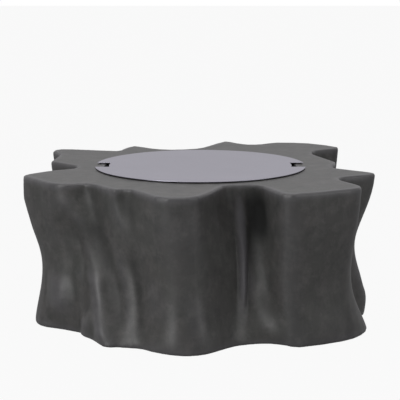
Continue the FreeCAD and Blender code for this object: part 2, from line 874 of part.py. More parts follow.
def rock(name, circle, bearing, scale):
    """One stone with a flat base and flat faces, widest part of the way up."""
    height = size("rock_height") * scale
    wide = size("rock_radius") * scale
    outline = []
    for corner in range(ROCK_CORNERS):
        reach = wide * (1 + ROCK_UNEVEN * math.sin(bearing + ROCK_PHASE * corner))
        angle = 2 * math.pi * corner / ROCK_CORNERS
        outline.append((reach * math.cos(angle), reach * math.sin(angle)))
    wires = []
    for share, rise in ROCK_LEVELS:
        points = [(x * share, y * share) for x, y in outline]
        wires.append((points, f"{height * rise}"))
    stone = loft(name, wires, True)
    return place(stone, polar_place(circle, bearing, PAN_FLOOR), Rotation(Z_AXIS, bearing))


def make_lava_rocks():
    """Lava stones on the pan floor, between the burner's arms."""
    stones = []
    count = size("arm_count")
    for i, bearing in enumerate(bearings(count, REAR + HALF_TURN / count)):
        scale = INNER_ROCK_SCALES[i % len(INNER_ROCK_SCALES)]
        stones.append(rock(f"rock_inner_{i}", "inner_rock_circle", bearing, scale))
        scale = OUTER_ROCK_SCALES[i % len(OUTER_ROCK_SCALES)]
        for side in (-1, 1):
            turn = bearing + side * size("outer_rock_spread")
            stones.append(rock(f"rock_outer_{i}_{side + 1}", "outer_rock_circle", turn, scale))
    keep(group("rock_group", stones), "lava_rocks")


def make_heat_shield():
    """Round plate under the pan that keeps heat off the hose and the controls."""
    body = new_body("heat_shield")
    disc = new_sketch(body, "shield_disc", "XY_Plane")
    add_circle(disc, "0", "0", "shield_radius")
    add_circle(disc, "0", "0", "shield_bore")
    new_feature(body, "Pad", "shield_pad", disc, Length="shield_sheet")
    place(body, ("0", "0", f"{PAN_UNDER} - shield_drop"))
    spacers = []
    for i, bearing in enumerate(bearings(size("spacer_count"), BETWEEN_AXES)):
        at = polar_place("spacer_circle", bearing, f"{PAN_UNDER} - shield_drop + shield_sheet")
        spacers.append(cylinder(f"spacer_{i}", at, "spacer_radius", "shield_drop - shield_sheet"))
    keep(group("spacer_group", spacers), "shield_spacers")


# Gas train


def make_air_mixer():
    """Tube screwed onto the nipple, with two pairs of slots that let air in."""
    outside = cylinder("mixer_outside", ("0", "0", MIXER_LOW), "mixer_radius", "mixer_length")
    bore_at = ("0", "0", f"{MIXER_LOW} + mixer_grip")
    bore = cylinder("mixer_bore", bore_at, "nipple_radius + thread_clearance", "mixer_length")
    low = f"{MIXER_LOW} + mixer_length / 2 - air_slot_height / 2"
    narrow = "air_slot_width"
    wide = "(2 * mixer_radius + 2 * cut_overrun)"
    tools = [bore]
    for name, length, width in (("air_slot_x", wide, narrow), ("air_slot_y", narrow, wide)):
        at = (f"-1 * {length} / 2", f"-1 * {width} / 2", low)
        tools.append(box(name, at, length, width, "air_slot_height"))
    keep(cut("mixer_cut", outside, tools), "air_mixer")


def make_elbow():
    """Brass elbow under the mixer that turns the gas line to the rear."""
    riser_at = ("0", "0", f"{MIXER_LOW} - elbow_height")
    riser = cylinder("elbow_riser", riser_at, "elbow_radius", "elbow_height")
    arm = cylinder("elbow_arm", ("0", "0", ELBOW_Z), "elbow_arm_radius", "elbow_reach", ALONG_Y)
    keep(fuse("elbow_fuse", [riser, arm]), "gas_elbow")


def rounded_path(points):
    """A wire of straight runs and tangent arcs, as large as the runs allow, and its least radius."""
    edges = []
    radii = []
    last = points[0]
    for before, corner, after in zip(points, points[1:], points[2:]):
        into = (corner - before).normalize()
        out = (after - corner).normalize()
        reach = ARC_SHARE * min((corner - before).Length, (after - corner).Length)
        start = corner - into * reach
        end = corner + out * reach
        turn = into.getAngle(out)
        radius = reach / math.tan(turn / 2)
        radii.append(radius)
        centre = corner + (out - into).normalize() * math.hypot(radius, reach)
        middle = centre + (corner - centre).normalize() * radius
        edges.append(Part.LineSegment(last, start).toShape())
        edges.append(Part.Arc(start, middle, end).toShape())
        last = end
    edges.append(Part.LineSegment(last, points[-1]).toShape())
    return Part.Wire(edges), radii


def tube(label, points, radius, sides):
    """A tube along a route, with a many-sided section."""
    path, radii = rounded_path(points)
    rounds = ", ".join(f"{value:.0f}" for value in radii)
    print(f"{label}: arc radii {rounds} mm, at least {2 * radius * LEAST_BEND:.0f} mm")
    ahead = (points[1] - points[0]).normalize()
    turn = Rotation(Z_AXIS, ahead)
    ring = []
    for i in range(sides + 1):
        angle = 2 * math.pi * i / sides
        ring.append(points[0] + turn.multVec(Vector(radius * math.cos(angle), radius * math.sin(angle), 0)))
    shell = Part.BRepOffsetAPI.MakePipeShell(path)
    shell.add(Part.makePolygon(ring), False, False)
    shell.build()
    shell.makeSolid()
    solid = doc.addObject("Part::Feature", label + "_tube")
    solid.Shape = shell.shape()
    solid.Placement = Placement()
    return keep(solid, label)


def route(start, end, shares):
    """Points of a line between two ends, each a share of the way along x, y and z."""
    span = end - start
    points = [start]
    for x, y, z in shares:
        points.append(start + Vector(span.x * x, span.y * y, span.z * z))
    return points + [end]


def point(x, y, z):
    """A point whose coordinates are sums of sizes."""
    return Vector(size(x), size(y), size(z))


def make_hose():
    """Flexible gas hose from the elbow to the back of the valve, with a nut at each end."""
    start = point("0", "elbow_reach", ELBOW_Z)
    end = point(VALVE_X, VALVE_BACK, HOSE_PORT_Z)
    shares = ((0.0, 0.2, 0.0), (0.38, 0.44, 0.38), (0.88, 0.67, 0.92), (1.0, 0.88, 1.0))
    tube("gas_hose", route(start, end, shares), size("hose_radius"), HOSE_SIDES)
    nuts = []
    places = (("0", "elbow_reach", ELBOW_Z), (VALVE_X, f"{VALVE_BACK} - hose_nut_length", HOSE_PORT_Z))
    for i, at in enumerate(places):
        nut = hexagon(f"hose_nut_{i}", at, "hose_nut_flat", "hose_nut_length", ALONG_Y)
        radius = "hose_radius + thread_clearance"
        bore = hole(f"hose_nut_bore_{i}", at, radius, "hose_nut_length", ALONG_Y)
        nuts.append(cut(f"hose_nut_cut_{i}", nut, [bore]))
    keep(group("hose_nut_group", nuts), "hose_nuts")


def make_control_panel():
    """Flat plate in the niche with holes for the stem, the igniter and four screws."""
    body = new_body("control_panel")
    plate = new_sketch(body, "panel_outline", "XY_Plane")
    half_w = "panel_width / 2"
    half_h = "panel_height / 2"
    add_outline(plate, [
        (f"panel_corner - {half_w}", f"-1 * {half_h}"),
        (f"{half_w} - panel_corner", f"-1 * {half_h}"),
        (half_w, f"panel_corner - {half_h}"),
        (half_w, f"{half_h} - panel_corner"),
        (f"{half_w} - panel_corner", half_h),
        (f"panel_corner - {half_w}", half_h),
        (f"-1 * {half_w}", f"{half_h} - panel_corner"),
        (f"-1 * {half_w}", f"panel_corner - {half_h}"),
    ])
    new_feature(body, "Pad", "panel_pad", plate, Length="panel_sheet")
    holes = new_sketch(body, "panel_holes", "XY_Plane")
    add_circle(holes, "control_offset", "0", "stem_gland")
    add_circle(holes, "-1 * control_offset", "0", "igniter_radius + thread_clearance")
    for x, y in panel_corners():
        add_circle(holes, x, y, "panel_screw_radius + thread_clearance")
    body.Tip = through(body, "panel_hole_cut", holes)
    place(body, (PANEL_X, SEAT_Y, "panel_z"), FACING_REAR)
    screws = []
    for i, (x, z) in enumerate(panel_corners()):
        at = (f"{PANEL_X} + {x}", f"{SEAT_Y} + panel_sheet", f"panel_z + {z}")
        head = cylinder(f"screw_head_{i}", at, "panel_screw_head", "panel_screw_radius", ALONG_Y)
        shank_at = (at[0], f"{SEAT_Y} + panel_sheet - panel_screw_length", at[2])
        shank = cylinder(f"screw_shank_{i}", shank_at, "panel_screw_radius", "panel_screw_length", ALONG_Y)
        screws.append(fuse(f"screw_{i}", [head, shank]))
    keep(group("panel_screw_group", screws), "panel_screws")


def make_valve():
    """Gas valve: body behind the panel, turning plug inside it and a stem that slides in the plug."""
    low = (f"{VALVE_X} - valve_width / 2", VALVE_BACK, "panel_z - valve_height / 2")
    block = box("valve_block", low, "valve_width", "valve_depth", "valve_height")
    gap = "running_clearance"
    plug_y = f"{SEAT_Y} - valve_front - plug_length"
    chamber_at = (VALVE_X, f"{plug_y} - {gap}", "panel_z")
    room = f"plug_length + 2 * {gap}"
    chamber = cylinder("valve_chamber", chamber_at, f"plug_radius + {gap}", room, ALONG_Y)
    plug_at = (VALVE_X, plug_y, "panel_z")
    reach = "plug_length + valve_front + cut_overrun"
    gland = cylinder("valve_gland", plug_at, "stem_gland", reach, ALONG_Y)
    keep(cut("valve_cut", block, [chamber, gland]), "valve_body")
    outside = cylinder("plug_outside", plug_at, "plug_radius", "plug_length", ALONG_Y)
    bore = hole("plug_bore", plug_at, f"stem_radius + {gap}", "plug_length", ALONG_Y)
    keep(cut("plug_cut", outside, [bore]), "valve_plug")
    stem_at = (VALVE_X, f"{SEAT_Y} - valve_front - stem_tail", "panel_z")
    length = "stem_tail + valve_front + panel_sheet + stem_reach"
    stem = cylinder("stem", stem_at, "stem_radius", length, ALONG_Y)
    keep(stem, "valve_stem")


def make_knob():
    """Control knob: a tapered cap with a grip bar, pushed onto the stem."""
    body = new_body("control_knob")
    profile = new_sketch(body, "knob_profile", "XY_Plane")
    socket = "stem_reach - knob_gap + thread_clearance"
    add_outline(profile, [
        ("stem_radius + thread_clearance", "0"),
        ("knob_skirt", "0"),
        ("knob_radius", "knob_height - grip_height"),
        ("knob_radius - knob_edge", "knob_height - grip_height + knob_edge"),
        ("0", "knob_height - grip_height + knob_edge"),
        ("0", "knob_height - grip_height"),
        ("stem_radius + thread_clearance", "knob_height - grip_height"),
    ])
    revolve(body, "knob_turn", profile)
    grip = new_sketch(body, "knob_grip", "XZ_Plane", "-1 * (knob_height - grip_height)")
    add_outline(grip, [
        ("-1 * grip_width / 2", "grip_inset - knob_radius"),
        ("grip_width / 2", "grip_inset - knob_radius"),
        ("grip_width / 2", "knob_radius - grip_inset"),
        ("-1 * grip_width / 2", "knob_radius - grip_inset"),
    ])
    bar = new_feature(body, "Pad", "knob_grip_pad", grip, Length="grip_height")
    bar.Reversed = True
    bore = new_sketch(body, "knob_bore", "XZ_Plane")
    add_circle(bore, "0", "0", "stem_radius + thread_clearance")
    drill = new_feature(body, "Pocket", "knob_bore_cut", bore, Length=socket)
    drill.Reversed = False
    place(body, (VALVE_X, f"{SEAT_Y} + panel_sheet + knob_gap", "panel_z"))


def make_igniter():
    """Spark igniter: barrel through the panel with a bezel, and a push button in it."""
    front = f"{SEAT_Y} + panel_sheet"
    barrel_at = (BUTTON_X, f"{front} - igniter_length", "panel_z")
    barrel = cylinder("igniter_barrel", barrel_at, "igniter_radius", "igniter_length", ALONG_Y)
    bezel_at = (BUTTON_X, front, "panel_z")
    bezel = cylinder("igniter_bezel", bezel_at, "bezel_radius", "bezel_height", ALONG_Y)
    deep = "(button_length - button_proud + button_push + button_floor)"
    well_at = (BUTTON_X, f"{front} + bezel_height - {deep}", "panel_z")
    well_radius = "button_radius + running_clearance"
    well = cylinder("igniter_well", well_at, well_radius, f"{deep} + cut_overrun", ALONG_Y)
    keep(cut("igniter_cut", fuse("igniter_fuse", [barrel, bezel]), [well]), "igniter_body")
    button_at = (BUTTON_X, f"{front} + bezel_height + button_proud - button_length", "panel_z")
    button = cylinder("button", button_at, "button_radius", "button_length", ALONG_Y)
    keep(button, "igniter_button")


def sensor_rod(name, x, radius, height):
    """A rod through the pan floor with a collar that rests on the clamp plate."""
    low = f"{PAN_UNDER} - sensor_drop"
    length = f"sensor_drop + pan_sheet + clamp_sheet + {height}"
    rod = cylinder(f"{name}_rod", (x, "sensor_circle", low), radius, length)
    collar_at = (x, "sensor_circle", f"{PAN_FLOOR} + clamp_sheet")
    collar = cylinder(f"{name}_collar", collar_at, f"{radius} + collar_width", "collar_height")
    return [rod, collar]


def make_sensors():
    """Spark electrode and flame sensor through the pan floor at the tip of the rear arm."""
    left = "-1 * sensor_spread"
    right = "sensor_spread"
    spark_at = (left, "sensor_circle", f"{PAN_FLOOR} + clamp_sheet + electrode_height")
    spark = cylinder("spark_wire", spark_at, "spark_radius", "spark_height")
    insulator = sensor_rod("insulator", left, "electrode_radius", "electrode_height")
    keep(fuse("electrode_fuse", insulator + [spark]), "spark_electrode")
    sensor = sensor_rod("sensor", right, "thermocouple_radius", "thermocouple_height")
    keep(fuse("thermocouple_fuse", sensor), "thermocouple")
    plate_at = ("-1 * clamp_width / 2", "sensor_circle - clamp_depth / 2", PAN_FLOOR)
    plate = box("clamp_plate", plate_at, "clamp_width", "clamp_depth", "clamp_sheet")
    holes = []
    for i, (x, radius) in enumerate(((left, "electrode_radius"), (right, "thermocouple_radius"))):
        at = (x, "sensor_circle", PAN_FLOOR)
        holes.append(hole(f"clamp_hole_{i}", at, f"{radius} + thread_clearance", "clamp_sheet"))
    keep(cut("clamp_cut", plate, holes), "sensor_clamp")


def make_leads():
    """Igniter lead and flame sensor lead, from under the pan to the controls."""
    low = f"{PAN_UNDER} - sensor_drop"
    start = point(BUTTON_X, f"{SEAT_Y} + panel_sheet - igniter_length", "panel_z")
    end = point("-1 * sensor_spread", "sensor_circle", low)
    shares = (
        (0.0, 0.28, 0.0), (0.06, 0.54, 0.1), (0.25, 0.76, 0.32), (0.5, 0.9, 0.55),
        (0.8, 0.98, 0.76), (1.0, 1.0, 0.9),
    )
    tube("igniter_lead", route(start, end, shares), size("igniter_lead_radius"), LEAD_SIDES)
    start = point(VALVE_X, VALVE_BACK, SENSOR_PORT_Z)
    end = point("sensor_spread", "sensor_circle", low)
    shares = (
        (0.0, 0.25, 0.0), (0.06, 0.5, 0.06), (0.22, 0.74, 0.2), (0.44, 0.88, 0.38),
        (0.68, 0.96, 0.58), (0.89, 1.0, 0.76), (1.0, 1.0, 0.9),
    )
    tube("thermocouple_lead", route(start, end, shares), size("thermocouple_lead_radius"), LEAD_SIDES)


def make_inlet_pipe():
    """Rigid pipe from the underside of the valve down and back to the gas inlet."""
    pipe_y = f"{VALVE_BACK} + pipe_setback"
    bend = size("pipe_bend")
    top = point(VALVE_X, pipe_y, "panel_z - valve_height / 2")
    corner = point(VALVE_X, pipe_y, "inlet_height")
    end = point(VALVE_X, INLET_Y, "inlet_height")
    start_arc = corner + Z_AXIS * bend
    end_arc = corner + Y_AXIS * bend
    slant = bend * (1 - math.sqrt(0.5))
    path = Part.Wire([
        Part.LineSegment(top, start_arc).toShape(),
        Part.Arc(start_arc, corner + (Y_AXIS + Z_AXIS) * slant, end_arc).toShape(),
        Part.LineSegment(end_arc, end).toShape(),
    ])
    circle = Part.Wire([Part.makeCircle(size("pipe_radius"), top, Z_AXIS)])
    pipe = doc.addObject("Part::Feature", "inlet_pipe_sweep")
    pipe.Shape = path.makePipeShell([circle], True, False)
    pipe.Placement = Placement()
    keep(pipe, "inlet_pipe")


def make_inlet_bracket():
    """Angle bracket under the top of the arch that holds the inlet fitting, and its two screws."""
    left = f"{VALVE_X} - bracket_width / 2"
    low = "inlet_height - inlet_hex_flat"
    leg_at = (left, INLET_Y, low)
    leg = box("bracket_leg", leg_at, "bracket_width", "bracket_sheet", f"arch_height - ({low})")
    under = "arch_height - bracket_sheet"
    flange_at = (left, INLET_Y, under)
    flange = box("bracket_flange", flange_at, "bracket_width", "bracket_flange", "bracket_sheet")
    bore_at = (VALVE_X, INLET_Y, "inlet_height")
    tools = [hole("bracket_bore", bore_at, "flare_radius + thread_clearance", "bracket_sheet", ALONG_Y)]
    screws = []
    for i, x in enumerate(bracket_sides()):
        at = (f"{VALVE_X} + {x}", f"{INLET_Y} + bracket_flange / 2", under)
        radius = "bracket_screw_radius + thread_clearance"
        tools.append(hole(f"bracket_hole_{i}", at, radius, "bracket_sheet"))
        head_at = (at[0], at[1], f"{under} - bracket_screw_radius")
        head = cylinder(f"bracket_head_{i}", head_at, "bracket_screw_head", "bracket_screw_radius")
        shank = cylinder(f"bracket_shank_{i}", at, "bracket_screw_radius", "bracket_screw_length")
        screws.append(fuse(f"bracket_screw_{i}", [head, shank]))
    keep(cut("bracket_cut", fuse("bracket_fuse", [leg, flange]), tools), "inlet_bracket")
    keep(group("bracket_screw_group", screws), "bracket_screws")


def make_inlet_fitting():
    """Flare fitting through the bracket, with its hexagon outside and its locknut inside."""
    face = f"{INLET_Y} + bracket_sheet"
    hex_at = (VALVE_X, face, "inlet_height")
    thread_at = (VALVE_X, f"{face} + inlet_hex_length", "inlet_height")
    nose_at = (VALVE_X, f"{face} + inlet_hex_length + flare_length", "inlet_height")
    tail_at = (VALVE_X, f"{face} - shank_length", "inlet_height")
    solid = fuse("inlet_fitting_fuse", [
        hexagon("inlet_hex", hex_at, "inlet_hex_flat", "inlet_hex_length", ALONG_Y),
        cylinder("inlet_thread", thread_at, "flare_radius", "flare_length", ALONG_Y),
        cone("inlet_nose", nose_at, "nose_root_radius", "nose_tip_radius", "flare_nose", ALONG_Y),
        cylinder("inlet_shank", tail_at, "flare_radius", "shank_length", ALONG_Y),
    ])
    socket_at = (VALVE_X, f"{face} - shank_length - cut_overrun", "inlet_height")
    deep = "shank_length + cut_overrun - bracket_sheet"
    socket = cylinder("inlet_socket", socket_at, "pipe_radius + thread_clearance", deep, ALONG_Y)
    keep(cut("inlet_fitting_cut", solid, [socket]), "inlet_fitting")
    nut_at = (VALVE_X, f"{INLET_Y} - inlet_nut_length", "inlet_height")
    nut = hexagon("inlet_nut", nut_at, "inlet_hex_flat", "inlet_nut_length", ALONG_Y)
    bore = hole("inlet_nut_bore", nut_at, "flare_radius + thread_clearance", "inlet_nut_length", ALONG_Y)
    keep(cut("inlet_nut_cut", nut, [bore]), "inlet_locknut")


def check_all():
    """Stops if any object failed or any sub-part has no sound shape."""
    for thing in doc.Objects:
        if any(word in ("Invalid", "Error") for word in thing.State):
            raise RuntimeError(f"{thing.Name} failed: {thing.State}")
    for part in parts:
        shape = part.Shape
        if shape.isNull() or not shape.isValid() or not shape.Solids:
            raise RuntimeError(f"{part.Label} has no sound solid")


def write_all():
    """Writes one STEP file for each sub-part."""
    os.makedirs("parts", exist_ok=True)
    for part in parts:
        part.Shape.exportStep(os.path.join("parts", part.Label + ".step"))


fill_sheet()
make_table_shell()
make_lid_plate()
make_lid_pads()
make_lid_tabs()
make_burner_pan()
make_burner()
make_nipple()
make_lava_rocks()
make_heat_shield()
make_air_mixer()
make_elbow()
make_hose()
make_control_panel()
make_valve()
make_knob()
make_igniter()
make_sensors()
make_leads()
make_inlet_pipe()
make_inlet_bracket()
make_inlet_fitting()
doc.recompute()
check_all()
write_all()
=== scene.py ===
"""Looks of the fire pit table: a cast concrete stump with a brushed steel lid over a gas burner.

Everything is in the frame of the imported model: +Z up, the seen side towards -Y. Sizes are named in
millimetres and turned to metres where a mesh or a node takes them.
"""

from __future__ import annotations

import logging
import math
from dataclasses import dataclass
from enum import Enum
from typing import Any, Sequence

import bmesh
import bpy
import numpy as np
from mathutils import Euler, Matrix, Vector, noise
from mathutils.bvhtree import BVHTree


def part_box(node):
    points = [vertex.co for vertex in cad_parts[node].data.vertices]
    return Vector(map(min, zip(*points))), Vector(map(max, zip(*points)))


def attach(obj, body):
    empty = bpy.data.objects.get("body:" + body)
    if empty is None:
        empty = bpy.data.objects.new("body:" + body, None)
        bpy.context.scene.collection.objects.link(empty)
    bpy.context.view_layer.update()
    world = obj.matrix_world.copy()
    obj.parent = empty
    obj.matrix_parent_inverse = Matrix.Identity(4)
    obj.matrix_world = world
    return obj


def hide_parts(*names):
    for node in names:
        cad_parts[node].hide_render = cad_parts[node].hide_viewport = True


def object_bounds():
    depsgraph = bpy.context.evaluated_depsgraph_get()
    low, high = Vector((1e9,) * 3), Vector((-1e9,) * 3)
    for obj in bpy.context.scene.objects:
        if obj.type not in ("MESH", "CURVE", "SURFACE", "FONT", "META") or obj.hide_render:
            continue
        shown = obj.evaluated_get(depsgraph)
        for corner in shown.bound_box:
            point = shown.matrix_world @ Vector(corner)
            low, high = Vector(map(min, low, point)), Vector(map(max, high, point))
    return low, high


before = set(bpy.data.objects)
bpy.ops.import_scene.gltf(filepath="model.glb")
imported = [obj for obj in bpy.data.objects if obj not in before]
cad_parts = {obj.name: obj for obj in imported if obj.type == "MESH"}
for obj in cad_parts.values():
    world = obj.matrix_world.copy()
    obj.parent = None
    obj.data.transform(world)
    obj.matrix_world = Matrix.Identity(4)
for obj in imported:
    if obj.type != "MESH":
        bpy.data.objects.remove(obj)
CAD_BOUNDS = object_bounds()
MM = 0.001
log = logging.getLogger("fire_pit_table")

Point = tuple[float, float, float]
Colour = tuple[float, float, float, float]


class Grain(Enum):
    """How a pattern is stretched: the scale along x, y and z, where a low one makes long marks."""

    EVEN = (1.0, 1.0, 1.0)
    ALONG_Y = (1.0, 0.02, 1.0)
    UPRIGHT_STREAKS = (1.0, 1.0, 0.16)


class Body(Enum):
    """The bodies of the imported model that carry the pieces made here."""

    TABLE = "table"
    LID = "lid"
    KNOB = "knob"
    BUTTON = "igniter_button"


def linear(hex_colour: str) -> Colour:
    """Turns an sRGB hex colour into linear light.

    Args:
        hex_colour: six hex digits after a hash sign.

    Returns:
        Red, green, blue and an alpha of one.
    """
    parts = [int(hex_colour[i : i + 2], 16) / 255 for i in (1, 3, 5)]
    light = [c / 12.92 if c <= 0.04045 else ((c + 0.055) / 1.055) ** 2.4 for c in parts]
    return (light[0], light[1], light[2], 1.0)


def add_node(
    tree: bpy.types.NodeTree, kind: str, settings: dict | None = None, links: dict | None = None
) -> Any:
    """Adds a node to a material and wires it.

    Args:
        tree: the material's node tree.
        kind: the node's type without its common prefix.
        settings: properties by name, and the values of input sockets by name or number.
        links: input sockets by name or number, each with the output that feeds it.

    Returns:
        The new node.
    """
    node = tree.nodes.new("ShaderNode" + kind)
    values = dict(settings or {})
    for name in [key for key in values if isinstance(key, str) and hasattr(node, key)]:
        setattr(node, name, values.pop(name))
    for name, value in values.items():
        node.inputs[name].default_value = value
    for name, source in (links or {}).items():
        tree.links.new(source, node.inputs[name])
    return node


def per_metre(feature_mm: float) -> float:
    """Returns the texture scale at which one feature of a pattern has the given size."""
    return 1.0 / (feature_mm * MM)


@dataclass(frozen=True)
class Finish:
    """What the finishes share: two close colours in soft patches over a fine bumpy grain."""

    name: str
    colour: str
    shade: str
    metallic: float = 0.0
    roughness: float = 0.5
    patch_mm: float = 40.0
    grain_mm: float = 2.0
    grain_depth_mm: float = 0.05
    grain: Grain = Grain.EVEN
    spread: float = 0.06

    def position(self, tree: bpy.types.NodeTree, grain: Grain) -> Any:
        """Returns the object's own coordinates, stretched along the grain."""
        place = add_node(tree, "TexCoord").outputs["Object"]
        return add_node(tree, "Mapping", {"Scale": grain.value}, {"Vector": place}).outputs[0]

    def tinted(
        self, tree: bpy.types.NodeTree, base: Any, hue: str, share: Any, span: tuple[float, float],
        most: float,
    ) -> Any:
        """Lays a hue over a colour.

        Args:
            tree: the material's node tree.
            base: the colour output that is covered.
            hue: the hue that covers it, in hex digits.
            share: the output that says where.
            span: the values of share where the hue starts and where it is strongest.
            most: how much of the colour it covers there.

        Returns:
            The new colour output.
        """
        amount = add_node(tree, "MapRange", {1: span[0], 2: span[1], 3: 0.0, 4: most}, {0: share})
        mix = add_node(tree, "Mix", {"data_type": "RGBA", 7: linear(hue)}, {0: amount.outputs[0], 6: base})
        return mix.outputs[2]

    def colours(self, tree: bpy.types.NodeTree) -> Any:
        """Mixes the two colours in soft patches.

        Args:
            tree: the material's node tree.

        Returns:
            The colour output.
        """
        patches = add_node(
            tree, "TexNoise", {"Scale": per_metre(self.patch_mm), "Detail": 4.0},
            {"Vector": self.position(tree, Grain.EVEN)},
        )
        mix = add_node(
            tree, "Mix", {"data_type": "RGBA", 6: linear(self.colour), 7: linear(self.shade)},
            {0: patches.outputs[0]},
        )
        return mix.outputs[2]

    def relief(self, tree: bpy.types.NodeTree) -> tuple[Any, Any]:
        """Raises the grain, and makes it a little glossier in its low places.

        Args:
            tree: the material's node tree.

        Returns:
            The normal and the roughness outputs.
        """
        grain = add_node(
            tree, "TexNoise", {"Scale": per_metre(self.grain_mm), "Detail": 3.0},
            {"Vector": self.position(tree, self.grain)},
        )
        bump = add_node(tree, "Bump", {"Distance": self.grain_depth_mm * MM}, {"Height": grain.outputs[0]})
        low, high = self.roughness - self.spread, self.roughness + self.spread
        rough = add_node(tree, "MapRange", {3: low, 4: high}, {0: grain.outputs[0]})
        return bump.outputs[0], rough.outputs[0]

    def material(self) -> bpy.types.Material:
        """Builds the finish once.

        Returns:
            Its material.
        """
        made = bpy.data.materials.get(self.name)
        if made:
            return made
        material = bpy.data.materials.new(self.name)
        material.use_nodes = True
        tree = material.node_tree
        tree.nodes.clear()
        colour = self.colours(tree)
        normal, rough = self.relief(tree)
        surface = add_node(
            tree, "BsdfPrincipled", {"Metallic": self.metallic},
            {"Base Color": colour, "Normal": normal, "Roughness": rough},
        )
        add_node(tree, "OutputMaterial", links={"Surface": surface.outputs[0]})
        return material


@dataclass(frozen=True)
class Cloud:
    """One tint of the concrete in soft patches: its size, its hue and how much of it shows."""

    name: str
    grain: Grain
    size_mm: float
    hue: str
    span: tuple[float, float]
    most: float


@dataclass(frozen=True)
class CastConcrete(Finish):
    """Glass-fibre concrete, cast dark, hand rubbed and sealed.

    It shows soft cloudy patches, faint upright run marks, crests rubbed paler, painted highlights along
    some folds, painted shade in the hollows, where the gloss is dulled as by wax, and a satin seal that
    catches light along the folds.
    """

    name: str = "sealed_cast_concrete"
    colour: str = "#575655"
    shade: str = "#4a4a48"
    roughness: float = 0.40
    patch_mm: float = 70.0
    grain_mm: float = 3.0
    grain_depth_mm: float = 0.12
    rubbed: str = "#77767a"
    # painted shade for hollows and creases, with some dust
    painted_hollow_shade: str = "#2e2f2e"
    # painted highlight colour for folds whose stroke tone is above zero
    painted_highlight_colour: str = "#7d7b80"
    # painted shade colour for pockets and valleys whose stroke tone is below zero
    wax_and_painted_shade: str = "#1d1e1d"
    wax_dulling: float = 0.4
    cloud_shift: Point = (1.7, 2.3, 3.1)
    clouds: tuple[Cloud, ...] = (
        Cloud("clouds", Grain.EVEN, 50.0, "#716e6d", (0.47, 0.74), 0.6),
        Cloud("dark_clouds", Grain.EVEN, 44.0, "#363837", (0.50, 0.76), 0.6),
        Cloud("run_marks", Grain.UPRIGHT_STREAKS, 26.0, "#6f6d6b", (0.50, 0.80), 0.3),
        Cloud("green_tint", Grain.EVEN, 190.0, "#555b55", (0.45, 0.70), 0.2),
        Cloud("warm_tint", Grain.EVEN, 150.0, "#5f5a58", (0.50, 0.75), 0.3),
    )

    def colours(self, tree: bpy.types.NodeTree) -> Any:
        """Lays clouds, run marks, faint tints, rubbed crests, painted shade in hollows, and the strokes'
        painted highlights and shade over each other.

        Args:
            tree: the material's node tree.

        Returns:
            The colour output.
        """
        layer = Finish.colours(self, tree)
        places = {grain: self.position(tree, grain) for grain in (Grain.EVEN, Grain.UPRIGHT_STREAKS)}
        for number, cloud in enumerate(self.clouds):
            shift = {"Location": tuple(number * way for way in self.cloud_shift)}
            moved = add_node(tree, "Mapping", shift, {"Vector": places[cloud.grain]})
            look = {"name": cloud.name, "Scale": per_metre(cloud.size_mm), "Detail": 6.0, "Roughness": 0.68}
            patches = add_node(tree, "TexNoise", look, {"Vector": moved.outputs[0]})
            layer = self.tinted(tree, layer, cloud.hue, patches.outputs[0], cloud.span, cloud.most)
        wear_and_hollow_shade = add_node(tree, "Attribute", {"attribute_name": "wear_and_hollow_shade"}).outputs["Fac"]
        layer = self.tinted(tree, layer, self.rubbed, wear_and_hollow_shade, (0.5, 1.0), 0.4)
        # Painted shade: hollows and creases darkened by their curvature, with some dust.
        layer = self.tinted(tree, layer, self.painted_hollow_shade, wear_and_hollow_shade, (0.5, 0.0), 0.3)
        painted_highlight_and_shade = add_node(tree, "Attribute", {"attribute_name": "painted_highlight_and_shade"}).outputs["Fac"]
        # Painted highlights: folds with a stroke tone above zero lightened.
        layer = self.tinted(tree, layer, self.painted_highlight_colour, painted_highlight_and_shade, (0.0, 1.0), 0.8)
        # Painted shade: pockets and valleys with a stroke tone below zero darkened.
        return self.tinted(tree, layer, self.wax_and_painted_shade, painted_highlight_and_shade, (0.0, -1.0), 0.9)

    def relief(self, tree: bpy.types.NodeTree) -> tuple[Any, Any]:
        """Raises the fine grain, and takes away the gloss where the strokes paint shade, as wax in the
        hollows would.

        Args:
            tree: the material's node tree.

        Returns:
            The normal and the roughness outputs.
        """
        bump, rough = Finish.relief(self, tree)
        painted_highlight_and_shade = add_node(tree, "Attribute", {"attribute_name": "painted_highlight_and_shade"}).outputs["Fac"]
        # The gloss is dulled where the strokes paint shade.
        wax_and_painted_shade = add_node(tree, "MapRange", {1: 0.0, 2: -1.0, 3: 0.0, 4: self.wax_dulling}, {0: painted_highlight_and_shade})
        dull = add_node(tree, "Math", {"operation": "ADD"}, {0: rough, 1: wax_and_painted_shade.outputs[0]})
        return bump, dull.outputs[0]


@dataclass(frozen=True)
class BrushedStainless(Finish):
    """Stainless sheet, belt brushed: fine straight lines that smear every reflection across them."""

    name: str = "brushed_stainless_sheet"
    colour: str = "#bab8c4"
    shade: str = "#b3b1bd"
    metallic: float = 1.0
    roughness: float = 0.36
    patch_mm: float = 160.0
    grain_mm: float = 1.2
    grain_depth_mm: float = 0.01
    grain: Grain = Grain.ALONG_Y


@dataclass(frozen=True)
class HeatEnamel(Finish):
    """Black heat-proof stove paint on steel, sprayed: dull, with a slight orange peel and grey dust."""

    name: str = "black_stove_enamel"
    colour: str = "#232323"
    shade: str = "#2d2c2b"
    roughness: float = 0.62
    patch_mm: float = 60.0
    grain_mm: float = 1.6
    grain_depth_mm: float = 0.05


@dataclass(frozen=True)
class BurnerSteel(Finish):
    """Stainless tube that flames have tinted straw and brown, duller than the lid."""

    name: str = "heat_tinted_stainless"
    colour: str = "#9c958a"
    shade: str = "#7d6f60"
    metallic: float = 1.0
    roughness: float = 0.42
    patch_mm: float = 45.0
    grain_mm: float = 1.0
    grain_depth_mm: float = 0.02


